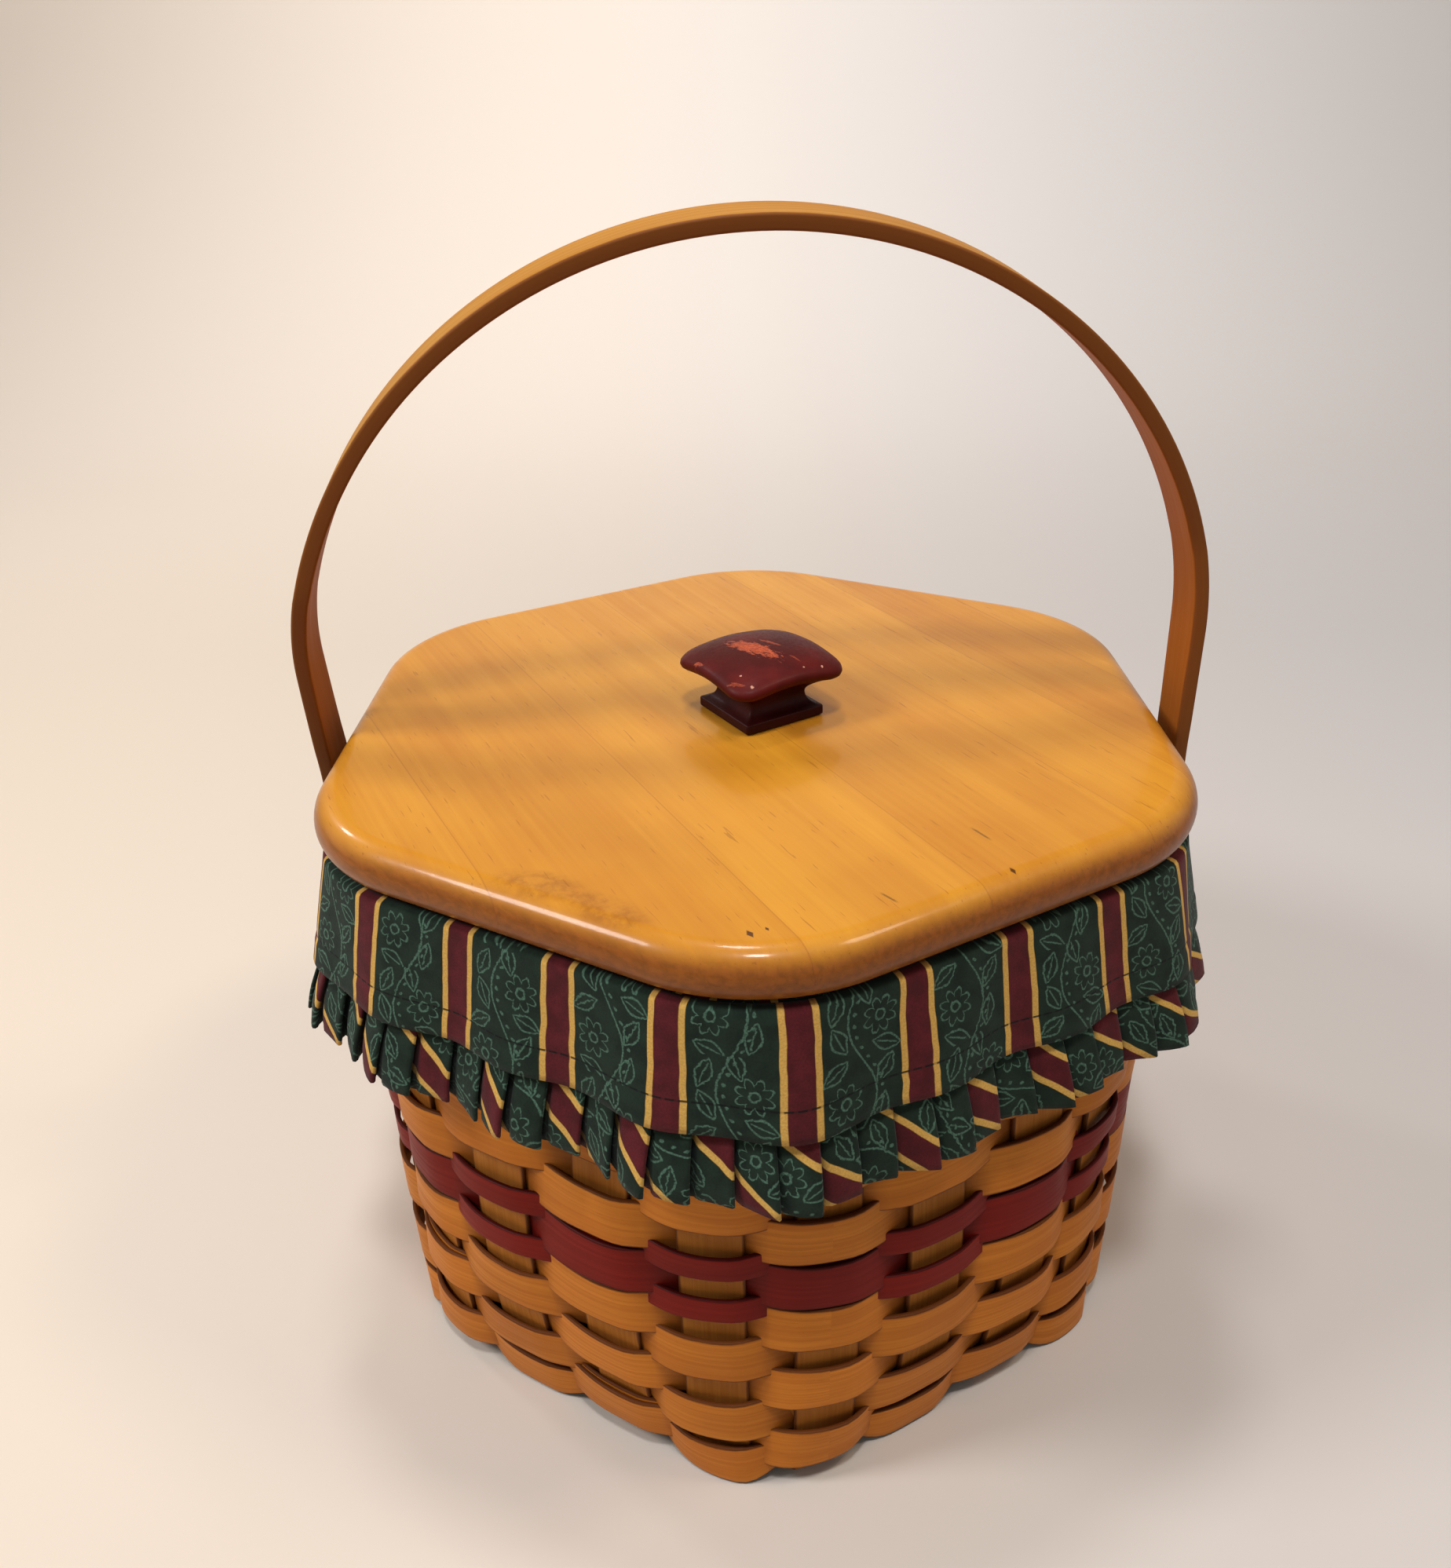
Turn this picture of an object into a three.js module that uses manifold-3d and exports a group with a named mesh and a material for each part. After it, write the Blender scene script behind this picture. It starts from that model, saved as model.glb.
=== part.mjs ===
// Hexagonal splint basket with a fixed arch handle, a lift-off wooden lid and a ruffled cloth liner.
// Millimetres, +Z up. The origin lies on the surface the basket stands on, under its centre.
// Two corners of the hexagon point along -Y (front) and +Y, so two flats face -X and +X.
import * as THREE from "three";
import { mergeVertices } from "three/addons/utils/BufferGeometryUtils.js";
import Module from "manifold-3d";

const wasm = await Module();
wasm.setup();

// Woven body. In plan it is a hexagon with round corners on the floor, nearly round where the wall
// bellies out, and a hexagon again at the rim.
const rimApothem = 101; // to the middle of the wall
const rimCorner = 36; // radius of the corners in plan
const bellySwell = 3.5; // how far the belly stands out past the rim
const bellyCorner = 84;
const bellyHeight = 62;
const footTuck = 4.5; // how far the foot stands in from the rim
const footCorner = 28;
const uprightWidth = 16;
const uprightThickness = 1.3;
const turnRadius = 2.5; // where a base splint turns up into the wall
const turnGap = 0.9; // air between the base and the lowest weaver inside that turn
const uprightSteps = 5; // straight pieces from the turn to the rim
const uprightCrowding = 1.4; // over 1, they are shorter near the floor, where the wall curves most
const weaverThickness = 1.2;
const wideWeaver = 14.2;
const narrowWeaver = 7.6;
const weaverBow = 0.85; // how far a weaver bows off an upright that it passes outside
const weaverSink = 0.4; // and off one that it passes inside
const layGap = 0.35; // air between splints that lie on each other
const rowGap = 0.3; // air between neighbouring rows
const firstRowInside = 0.3; // share of its width that the lowest row keeps behind an upright
const weaverRise = 0.08; // share of the gap between two uprights at which a weaver leaves each one
const weaverCrossing = 0.36; // and at which it meets the next row, coming the other way

// Where the uprights stand, as shares of half a side, by the direction their base splints run.
// The basket is handmade, so the spacing is not even; each splint turns up at both of its ends.
const splintSets = [
  { name: "splint_right", face: 0, places: [-0.73, -0.22, 0.32, 0.8] },
  { name: "splint_cross", face: 1, places: [-0.77, -0.26, 0.26, 0.77] },
  { name: "splint_left", face: 5, places: [-0.79, -0.26, 0.29, 0.78] },
];

// Rows from the floor up. `packing` is how much of its width a weaver keeps where the rows cross
// between two uprights, because the rows are beaten down hard.
const rows = [
  { name: "weaver_01", width: wideWeaver, packing: 0.58, colour: "natural" },
  { name: "weaver_02", width: wideWeaver, packing: 0.63, colour: "natural" },
  { name: "weaver_03", width: wideWeaver, packing: 0.85, colour: "natural" },
  { name: "weaver_04", width: wideWeaver, packing: 0.79, colour: "natural" },
  { name: "weaver_05", width: wideWeaver, packing: 0.75, colour: "natural" },
  { name: "weaver_06", width: wideWeaver, packing: 0.65, colour: "natural" },
  { name: "weaver_07_red_narrow", width: narrowWeaver, packing: 0.66, colour: "red" },
  { name: "weaver_08_red_wide", width: wideWeaver, packing: 0.61, colour: "red" },
  { name: "weaver_09_red_narrow", width: narrowWeaver, packing: 0.68, colour: "red" },
  { name: "weaver_10", width: wideWeaver, packing: 0.66, colour: "natural" },
  { name: "weaver_11", width: wideWeaver, packing: 0.78, colour: "natural" },
  { name: "weaver_12", width: wideWeaver, packing: 0.78, colour: "natural" },
  { name: "weaver_13", width: wideWeaver, packing: 0.78, colour: "natural" },
  { name: "weaver_14", width: wideWeaver, packing: 0.8, colour: "natural" },
];

// Rim
const rimBandWidth = 16.8;
const innerBandThickness = 2.4;
const outerBandThickness = 3.2;

// Handle
const handleWidth = 16;
const handleThickness = 3.8;
const handleEase = 0.6; // broken edges of the strip
const legRise = 44.3; // top of the rim to the shoulder
const archRise = 93; // shoulder to the top of the arch, on the middle of the strip
const shoulderBlend = 11; // length of strip that the shoulder bends over, on each side
const legClearance = 5.3; // edge of the lid to the inside of a leg
const handleLean = 4.8; // degrees that it leans to the front
const leanRise = 12; // height over which the lean comes in
const handleTwist = 6; // degrees that the arch is turned, its left leg to the front
const handleShift = 2.2; // how far the arch stands to the right
const twistRise = 60; // height over which the twist and the shift come in
const tailDrop = 30; // top of the rim to the lower end of a tail
const joggleHeight = 12; // height over which a leg steps in to the rim
const joggleDrop = 3; // top of the rim to the top of that step

// Cloth
const clothThickness = 0.8;
const linerSlack = 1; // air between the liner and the inside of the wall
const linerTurn = 1.2; // soft corner between the liner's floor and its side
const foldEase = 0.4; // soft edge where the cloth folds over the rim
const skirtDrop = 28.5; // depth of the plain band that hangs over the rim
const skirtFlare = 0.19; // how far the band stands out for each millimetre that it hangs
const skirtCornerGrowth = 0.12; // how much rounder its corners get for each millimetre
const skirtWave = 1.3; // depth of the soft waves at the lower edge of the band
const skirtWavePitch = 36;
const slotWidth = 23; // opening in the skirt at each leg of the handle
const ruffleDrop = 17; // how far the ruffle shows below the band
const ruffleTuck = 4; // how far it is sewn up behind the band
const ruffleKick = 0.8; // how far its lower edge stands out past the line of the band
const pleatPitch = 9.5;
const pleatDepth = 2.6;
const pleatFold = 0.12; // share of a pleat that its fold takes
const pleatPress = 0.4; // share of the depth that is left where the ruffle is sewn on

// Lid
const lidOverhang = 7; // how far the lid reaches past the middle of the wall
const lidCorner = 47.5;
const lidThickness = 13.1;
const cleatWidth = 16;
const cleatThickness = 6;
const cleatOffset = 45; // middle of the lid to the middle of a cleat
const cleatFit = 2.5; // air between a cleat's end and the liner

// Knob and its screw
const footHalf = 12;
const waistHalf = 8.4;
const capHalf = 17.2;
const footHeight = 2.6;
const footBevel = 0.6;
const capUnderside = 11.6;
const knobHeight = 19;
const capRound = 6; // radius of its corners in plan
const capDroop = 1.9; // how far the corners of the cap hang below its sides
const knobTurn = 32; // degrees, nearly square with one pair of the hexagon's sides
const knobPlace = new THREE.Vector3(2.8, -3.9, 0); // a little off the middle of the lid
const screwDiameter = 4;
const screwHeadDiameter = 8.4;
const screwHeadHeight = 2.6;
const screwHeadRim = 0.5; // straight edge of the head, below its taper
const screwLength = 25;
const screwSink = 0.6; // head below the underside of the lid
const boreClearance = 0.35;

const materials = {
  natural: new THREE.MeshStandardMaterial({ color: 0xb9783b, roughness: 0.55 }),
  red: new THREE.MeshStandardMaterial({ color: 0x7c2a22, roughness: 0.5 }),
  band: new THREE.MeshStandardMaterial({ color: 0xa96a33, roughness: 0.5 }),
  handle: new THREE.MeshStandardMaterial({ color: 0xb5742f, roughness: 0.4 }),
  lid: new THREE.MeshStandardMaterial({ color: 0xd6953f, roughness: 0.32 }),
  knob: new THREE.MeshStandardMaterial({ color: 0x5b1d1e, roughness: 0.4 }),
  cloth: new THREE.MeshStandardMaterial({ color: 0x24382b, roughness: 0.9 }),
  steel: new THREE.MeshStandardMaterial({ color: 0xb8b6b0, roughness: 0.35, metalness: 1 }),
};

const thirtyDegrees = Math.PI / 6;
const sixtyDegrees = Math.PI / 3;

// A hexagon with round corners, walked counter-clockwise from the middle of its front corner.
class HexOutline {
  constructor(apothem, corner) {
    this.apothem = apothem;
    this.corner = Math.max(corner, 0.5);
    this.flat = 2 * (apothem - this.corner) * Math.tan(thirtyDegrees);
    this.bend = this.corner * sixtyDegrees;
    this.side = this.flat + this.bend;
    this.length = 6 * this.side;
  }

  // The point `proud` outside the outline, `along` millimetres from the start.
  at(along, proud = 0) {
    const walked = ((along % this.length) + this.length) % this.length;
    const face = Math.min(Math.floor(walked / this.side), 5);
    const fromCorner = walked - face * this.side;
    const facing = -Math.PI / 2 + thirtyDegrees + face * sixtyDegrees;
    const onFlat = THREE.MathUtils.clamp(fromCorner - this.bend / 2, 0, this.flat) - this.flat / 2;
    let turn = 0;
    if (fromCorner < this.bend / 2) turn = fromCorner / this.corner - thirtyDegrees;
    if (fromCorner > this.bend / 2 + this.flat) {
      turn = (fromCorner - this.bend / 2 - this.flat) / this.corner;
    }
    const out = new THREE.Vector2(Math.cos(facing), Math.sin(facing));
    const tangent = new THREE.Vector2(-out.y, out.x);
    const normal = new THREE.Vector2(Math.cos(facing + turn), Math.sin(facing + turn));
    return out.multiplyScalar(this.apothem - this.corner)
      .addScaledVector(tangent, onFlat)
      .addScaledVector(normal, this.corner + proud);
  }

  // Its corners as arcs of `steps` pieces, joined by the flats.
  points(steps) {
    const list = [];
    for (let corner = 0; corner < 6; corner += 1) {
      for (let step = 0; step <= steps; step += 1) {
        list.push(this.at(corner * this.side + (step / steps - 0.5) * this.bend));
      }
    }
    return list;
  }
}

// Skins a row of sections that all have the same number of points into one closed solid. The faces
// on the second half of a section are split the other way, so the two sides of a thin strip match.
function loft(sections, ring = false) {
  const count = sections[0].length;
  const positions = sections.flat().flatMap((point) => [point.x, point.y, point.z]);
  const index = [];
  const last = ring ? sections.length : sections.length - 1;
  for (let i = 0; i < last; i += 1) {
    const here = i * count;
    const next = ((i + 1) % sections.length) * count;
    for (let j = 0; j < count; j += 1) {
      const k = (j + 1) % count;
      if (j < count / 2) index.push(here + j, here + k, next + k, here + j, next + k, next + j);
      else index.push(here + j, here + k, next + j, here + k, next + k, next + j);
    }
  }
  if (!ring) {
    const end = (sections.length - 1) * count;
    for (let j = 0; j < count / 2 - 1; j += 1) {
      const [k, across, beside] = [j + 1, count - 2 - j, count - 1 - j];
      index.push(j, across, k, j, beside, across);
      index.push(end + j, end + k, end + across, end + j, end + across, end + beside);
    }
  }
  const geometry = new THREE.BufferGeometry();
  geometry.setAttribute("position", new THREE.Float32BufferAttribute(positions, 3));
  geometry.setIndex(index);
  return facingOut(geometry);
}

// Turns the triangles round if the solid came out inside out.
function facingOut(geometry) {
  const place = geometry.attributes.position;
  const index = geometry.index.array;
  const corner = [new THREE.Vector3(), new THREE.Vector3(), new THREE.Vector3()];
  let volume = 0;
  for (let i = 0; i < index.length; i += 3) {
    corner.forEach((point, j) => point.fromBufferAttribute(place, index[i + j]));
    volume += corner[0].dot(corner[1].cross(corner[2]));
  }
  if (volume < 0) {
    for (let i = 0; i < index.length; i += 3) {
      [index[i + 1], index[i + 2]] = [index[i + 2], index[i + 1]];
    }
  }
  geometry.computeVertexNormals();
  return geometry;
}

function toManifold(geometry) {
  const bare = geometry.clone();
  bare.deleteAttribute("normal");
  bare.deleteAttribute("uv");
  const merged = mergeVertices(bare, 1e-5);
  return new wasm.Manifold(new wasm.Mesh({
    numProp: 3,
    vertProperties: new Float32Array(merged.attributes.position.array),
    triVerts: new Uint32Array(merged.index.array),
  }));
}

function fromManifold(solid) {
  const mesh = solid.getMesh();
  const geometry = new THREE.BufferGeometry();
  geometry.setAttribute("position", new THREE.Float32BufferAttribute(mesh.vertProperties, 3));
  geometry.setIndex([...mesh.triVerts]);
  geometry.computeVertexNormals();
  return geometry;
}

const cut = (body, tool) => fromManifold(toManifold(body).subtract(toManifold(tool)));

const basket = new THREE.Group();
const lidGroup = new THREE.Group();
basket.add(lidGroup);

function piece(name, geometry, material, group = basket) {
  const mesh = new THREE.Mesh(geometry, material);
  mesh.name = name;
  group.add(mesh);
  return mesh;
}

// Levels

const setCount = splintSets.length;
const layerHeight = (layer) => uprightThickness / 2 + layer * (uprightThickness + layGap);
const baseTop = layerHeight(setCount - 1) + uprightThickness / 2;
let crossing = rowGap;
for (const row of rows) {
  row.crossBottom = crossing;
  row.crossTop = crossing + row.width * row.packing;
  row.middle = (row.crossBottom + row.crossTop) / 2;
  crossing = row.crossTop + rowGap;
}
const wovenTop = rows.at(-1).middle + rows.at(-1).width / 2;
const rimBottom = wovenTop + rowGap * 2;
const rimTop = rimBottom + rimBandWidth;
const linerTop = rimTop + rowGap + clothThickness;
const lidUnderside = linerTop + rowGap;
const lidApothem = rimApothem + lidOverhang;
const footApothem = rimApothem - footTuck;
const bellyApothem = rimApothem + bellySwell;

// The middle of the wall at a height.
function wallAt(z) {
  if (z < bellyHeight) {
    const swell = Math.sin((Math.PI / 2) * (z / bellyHeight));
    return new HexOutline(
      THREE.MathUtils.lerp(footApothem, bellyApothem, swell),
      THREE.MathUtils.lerp(footCorner, bellyCorner, swell),
    );
  }
  const climbed = Math.min((z - bellyHeight) / (rimBottom - bellyHeight), 1);
  const share = (1 - Math.cos(Math.PI * climbed)) / 2;
  return new HexOutline(
    THREE.MathUtils.lerp(bellyApothem, rimApothem, share),
    THREE.MathUtils.lerp(bellyCorner, rimCorner, share),
  );
}

// A point `proud` outside the wall. `turn` counts sides of the hexagon from the front corner.
function wallPoint(turn, z, proud) {
  const outline = wallAt(z);
  const point = outline.at(turn * outline.side, proud);
  return new THREE.Vector3(point.x, point.y, z);
}

// Base splints and uprights

// The points of an upright's section, as distances across and through it.
const [halfAcross, halfThrough] = [uprightWidth / 2, uprightThickness / 2];
const uprightSection = [
  [-halfAcross, -halfThrough], [0, -halfThrough], [halfAcross, -halfThrough],
  [halfAcross, halfThrough], [0, halfThrough], [-halfAcross, halfThrough],
];

// The sections of a splint from the rim down the wall, which it is bent to, and round the turn.
function splintEnd(turn, layer) {
  const low = layerHeight(layer);
  const turnTop = low + turnRadius;
  const onWall = (z, across, through) => wallPoint(turn + across / wallAt(z).side, z, through);
  const heights = [rimTop - layGap * 2];
  for (let step = uprightSteps; step >= 0; step -= 1) {
    heights.push(THREE.MathUtils.lerp(turnTop, rimBottom, (step / uprightSteps) ** uprightCrowding));
  }
  const sections = heights.map((z) => (
    uprightSection.map(([across, through]) => onWall(z, across, through))
  ));
  const outward = onWall(turnTop, 0, 1).sub(onWall(turnTop, 0, 0));
  const turnSteps = 2;
  for (let step = 1; step <= turnSteps; step += 1) {
    const angle = (step / turnSteps) * (Math.PI / 2);
    sections.push(uprightSection.map(([across, through]) => {
      const reach = turnRadius + through;
      return onWall(turnTop, across, 0)
        .addScaledVector(outward, reach * Math.cos(angle) - turnRadius)
        .setZ(turnTop - reach * Math.sin(angle));
    }));
  }
  const facing = (Math.floor(turn) - 1) * sixtyDegrees;
  const out = new THREE.Vector3(Math.cos(facing), Math.sin(facing), 0);
  const beside = new THREE.Vector3(-out.y, out.x, 0);
  const flat = onWall(turnTop, 0, 0).addScaledVector(out, -turnRadius - halfAcross);
  sections.push(uprightSection.map(([across, through]) => (
    flat.clone().addScaledVector(beside, across).setZ(low - through)
  )));
  return sections;
}

// One strip from rim to rim: down one wall, under the basket and up the opposite wall.
function baseSplint(face, place, layer) {
  const near = splintEnd(face + 0.5 + place / 2, layer);
  const far = splintEnd(face + 3.5 - place / 2, layer);
  const turned = far.map(([a, b, c, d, e, f]) => [c, b, a, f, e, d]).reverse();
  return loft([...near, ...turned]);
}

// A flat strip whose middle follows a line drawn in the XZ plane, its width lying along Y.
function stripAlong(line, width, thickness, ease) {
  const sections = line.map((point, i) => {
    const before = line[Math.max(i - 1, 0)];
    const after = line[Math.min(i + 1, line.length - 1)];
    const into = point.clone().sub(before).normalize();
    const away = after.clone().sub(point).normalize();
    const heading = into.add(away).normalize();
    const normal = new THREE.Vector2(-heading.y, heading.x);
    const halfWidth = width / 2;
    const halfThick = thickness / 2;
    const outline = [
      [-halfWidth, -halfThick + ease], [-halfWidth + ease, -halfThick],
      [halfWidth - ease, -halfThick], [halfWidth, -halfThick + ease],
      [halfWidth, halfThick - ease], [halfWidth - ease, halfThick],
      [-halfWidth + ease, halfThick], [-halfWidth, halfThick - ease],
    ];
    return outline.map(([y, off]) => {
      const moved = point.clone().addScaledVector(normal, off);
      return new THREE.Vector3(moved.x, y, moved.y);
    });
  });
  return loft(sections);
}

const uprights = []; // where they stand, in sides of the hexagon from the front corner
splintSets.forEach((set, layer) => {
  set.places.forEach((place, i) => {
    piece(`${set.name}_${i + 1}`, baseSplint(set.face, place, layer), materials.natural);
    uprights.push(set.face % 6 + 0.5 + place / 2, (set.face + 3) % 6 + 0.5 - place / 2);
  });
});
uprights.sort((a, b) => a - b);

// Weavers: each row is one ring that passes outside one upright and inside the next.

function weaverRing(row, order) {
  const touching = (uprightThickness + weaverThickness) / 2 + layGap;
  const passing = (weaverThickness + layGap) / 2;
  const first = order === 0;
  const outside = {
    bottom: Math.max(row.middle - row.width / 2, rowGap),
    top: first ? rowGap + row.width : row.middle + row.width / 2,
    proud: touching + weaverBow,
  };
  const inside = {
    bottom: Math.max(outside.bottom, baseTop + turnGap),
    top: outside.top,
    proud: -touching - weaverSink,
  };
  if (first) inside.top = inside.bottom + row.width * firstRowInside;
  const between = { bottom: row.crossBottom, top: row.crossTop };
  const sections = [];
  const half = uprightWidth / 2 / wallAt(row.middle).side;
  const station = (turn, proud, span, over) => {
    const corners = [[-1, span.bottom], [1, span.bottom], [1, span.top], [-1, span.top]];
    sections.push(corners.map(([side, z]) => {
      const bend = proud > 0 && over !== undefined ? wallBend(over, turn, z) : 0;
      return wallPoint(turn, z, proud + bend + side * weaverThickness / 2);
    }));
  };
  uprights.forEach((here, i) => {
    const next = i + 1 < uprights.length ? uprights[i + 1] : uprights[0] + 6;
    const edge = here + half;
    const gap = next - here - half * 2;
    const side = (i + order) % 2 === 0 ? -1 : 1;
    const [passHere, passNext] = side > 0 ? [outside, inside] : [inside, outside];
    station(edge + gap * weaverRise, passHere.proud, passHere, here);
    station(edge + gap * weaverCrossing, side * passing, between);
    station(edge + gap * (1 - weaverCrossing), -side * passing, between);
    station(edge + gap * (1 - weaverRise), passNext.proud, passNext, next);
  });
  return loft(sections, true);
}

// How far the wall has curved back at `turn`, square to the wall at the middle of an upright.
function wallBend(upright, turn, z) {
  const middle = wallPoint(upright, z, 0);
  const outward = wallPoint(upright, z, 1).sub(middle);
  return middle.sub(wallPoint(turn, z, 0)).dot(outward);
}

rows.forEach((row, order) => piece(row.name, weaverRing(row, order), materials[row.colour]));

// Rim bands, one inside the uprights and one outside

function rimBand(inner, outer) {
  const sections = [];
  const steps = 5;
  const bend = wallAt(rimTop).bend / wallAt(rimTop).side;
  for (let corner = 0; corner < 6; corner += 1) {
    for (let step = 0; step <= steps; step += 1) {
      const turn = corner + (step / steps - 0.5) * bend;
      const corners = [[inner, rimBottom], [outer, rimBottom], [outer, rimTop], [inner, rimTop]];
      sections.push(corners.map(([proud, z]) => wallPoint(turn, z, proud)));
    }
  }
  return loft(sections, true);
}

const bandSeat = uprightThickness / 2 + layGap;
const innerBandFace = -bandSeat - innerBandThickness;
const outerBandFace = bandSeat + outerBandThickness;
piece("rim_band_inner", rimBand(innerBandFace, -bandSeat), materials.band);
piece("rim_band_outer", rimBand(bandSeat, outerBandFace), materials.band);

// Handle: one bent strip, its tails fastened to the outer band at the two flats

const legMiddle = lidApothem + legClearance + handleThickness / 2;
const shoulder = rimTop + legRise;
const archRadius = (legMiddle ** 2 + archRise ** 2) / (2 * archRise);
const archCentre = shoulder + archRise - archRadius;

function handleLine() {
  const tailMiddle = rimApothem + outerBandFace + rowGap + handleThickness / 2;
  const stepTop = rimTop - joggleDrop;
  const stepBottom = stepTop - joggleHeight;
  const blendAngle = shoulderBlend / archRadius;
  const startAngle = Math.asin((shoulder - archCentre) / archRadius) + blendAngle;
  const blendEnd = new THREE.Vector2(Math.cos(startAngle), Math.sin(startAngle)).multiplyScalar(archRadius);
  const path = new THREE.Path();
  path.moveTo(tailMiddle, rimTop - tailDrop);
  path.lineTo(tailMiddle, stepBottom);
  const stepMiddle = (stepBottom + stepTop) / 2;
  path.bezierCurveTo(tailMiddle, stepMiddle, legMiddle, stepMiddle, legMiddle, stepTop);
  path.lineTo(legMiddle, (stepTop + shoulder - shoulderBlend) / 2);
  path.lineTo(legMiddle, shoulder - shoulderBlend);
  path.quadraticCurveTo(legMiddle, shoulder, blendEnd.x, archCentre + blendEnd.y);
  path.absarc(0, archCentre, archRadius, startAngle, Math.PI / 2, false);
  const half = path.getPoints(5);
  const other = half.slice(0, -1).map((point) => new THREE.Vector2(-point.x, point.y)).reverse();
  return [...half, ...other];
}

// Above the rim the handle leans to the front, and its arch has twisted and moved a little to the right.
function leanHandle(geometry) {
  const leanFoot = rimTop - joggleDrop;
  const points = geometry.attributes.position;
  const point = new THREE.Vector3();
  const leanAxis = new THREE.Vector3(1, 0, 0);
  const twistAxis = new THREE.Vector3(0, 0, 1);
  for (let i = 0; i < points.count; i += 1) {
    point.fromBufferAttribute(points, i);
    point.z -= leanFoot;
    const leaning = THREE.MathUtils.clamp(point.z / leanRise, 0, 1);
    const twisting = THREE.MathUtils.clamp(point.z / twistRise, 0, 1);
    point.applyAxisAngle(leanAxis, THREE.MathUtils.degToRad(handleLean) * leaning);
    point.applyAxisAngle(twistAxis, THREE.MathUtils.degToRad(handleTwist) * twisting);
    point.x += handleShift * twisting;
    point.z += leanFoot;
    points.setXYZ(i, point.x, point.y, point.z);
  }
  return geometry;
}

const straightHandle = stripAlong(handleLine(), handleWidth, handleThickness, handleEase);
piece("handle", leanHandle(straightHandle), materials.handle);

// Liner: a cloth cup against the inside of the wall, folded out over the rim

const linerOuter = innerBandFace - linerSlack;
const linerInner = linerOuter - clothThickness;
const linerFloor = baseTop + layGap;

function linerCup() {
  const level = (offset, z) => {
    const middle = wallAt(z);
    const outline = new HexOutline(middle.apothem + offset, middle.corner + offset);
    return outline.points(3).map((point) => new THREE.Vector3(point.x, point.y, z));
  };
  const hem = outerBandFace + rowGap;
  const skirtEdge = rimTop + rowGap;
  const thirds = [1 / 3, 2 / 3, 1];
  const heights = [
    ...thirds.map((share) => share * bellyHeight),
    ...thirds.map((share) => THREE.MathUtils.lerp(bellyHeight, rimBottom, share)),
  ];
  return loft([
    level(linerOuter - linerTurn, linerFloor),
    level(linerOuter, linerFloor + linerTurn),
    ...heights.map((z) => level(linerOuter, z)),
    level(linerOuter, skirtEdge),
    level(hem, skirtEdge),
    level(hem, linerTop - foldEase),
    level(hem - foldEase, linerTop),
    level(linerInner + foldEase, linerTop),
    level(linerInner, linerTop - foldEase),
    ...heights.map((z) => level(linerInner, z)).reverse(),
    level(linerInner, linerFloor + clothThickness + linerTurn),
    level(linerInner - linerTurn, linerFloor + clothThickness),
  ]);
}

piece("liner_bag", linerCup(), materials.cloth);

// Skirt: a plain band over the outside of the rim and a knife-pleated ruffle sewn behind its edge.
// It is open at the two legs of the handle, so each is made in a front and a back half.

const skirtTop = linerTop;
const skirtMiddle = outerBandFace + rowGap * 2 + clothThickness / 2;

// The middle of the skirt's cloth at a height, before the waves.
function skirtOutline(z) {
  const hang = skirtTop - z;
  const apothem = rimApothem + skirtMiddle + hang * skirtFlare;
  const corner = rimCorner + skirtMiddle + hang * skirtCornerGrowth;
  return new HexOutline(apothem, corner);
}

// A point of the skirt, `share` 0 to 1 from one slot to the other. The waves deepen as it hangs.
function skirtPoint(half, share, z, proud) {
  const outline = skirtOutline(z);
  const span = 3 * outline.side - slotWidth;
  const start = (half === "front" ? -1.5 : 1.5) * outline.side + slotWidth / 2;
  const waves = Math.round((3 * skirtOutline(skirtTop).side) / skirtWavePitch);
  const hang = (skirtTop - z) / skirtDrop;
  const wave = skirtWave * hang * Math.sin(2 * Math.PI * waves * share);
  const point = outline.at(start + span * share, proud + wave);
  return new THREE.Vector3(point.x, point.y, z);
}

const skirtBottom = skirtTop - skirtDrop;

function skirtBand(half) {
  const steps = 50;
  const sections = [];
  const face = clothThickness / 2;
  for (let i = 0; i <= steps; i += 1) {
    const corners = [[-1, skirtBottom], [1, skirtBottom], [1, skirtTop], [-1, skirtTop]];
    sections.push(corners.map(([side, z]) => skirtPoint(half, i / steps, z, side * face)));
  }
  return loft(sections);
}

// Each pleat rises to a fold on its counter-clockwise side and drops back under the next one.
function ruffle(half) {
  const top = skirtBottom + ruffleTuck;
  const bottom = skirtBottom - ruffleDrop;
  const pleats = Math.round((3 * skirtOutline(bottom).side - slotWidth) / pleatPitch);
  const behindBand = -clothThickness - rowGap - ruffleKick;
  const stations = [];
  for (let i = 0; i < pleats; i += 1) {
    stations.push({ share: (i + pleatFold / 2) / pleats, rise: 0 });
    stations.push({ share: (i + 1 - pleatFold / 2) / pleats, rise: 1 });
  }
  const levels = [0, 0.5, 1].map((drop) => {
    const depth = THREE.MathUtils.lerp(pleatDepth * pleatPress, pleatDepth, drop);
    const fold = THREE.MathUtils.lerp(behindBand, ruffleKick, drop);
    const z = THREE.MathUtils.lerp(top, bottom, drop);
    return thickened(stations.map(({ share, rise }) => (
      skirtPoint(half, share, z, fold - depth * (1 - rise))
    )));
  });
  return loft(stations.map((_, i) => [
    ...levels.map((level) => level.inner[i]),
    ...levels.map((level) => level.outer[i]).reverse(),
  ]));
}

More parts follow.
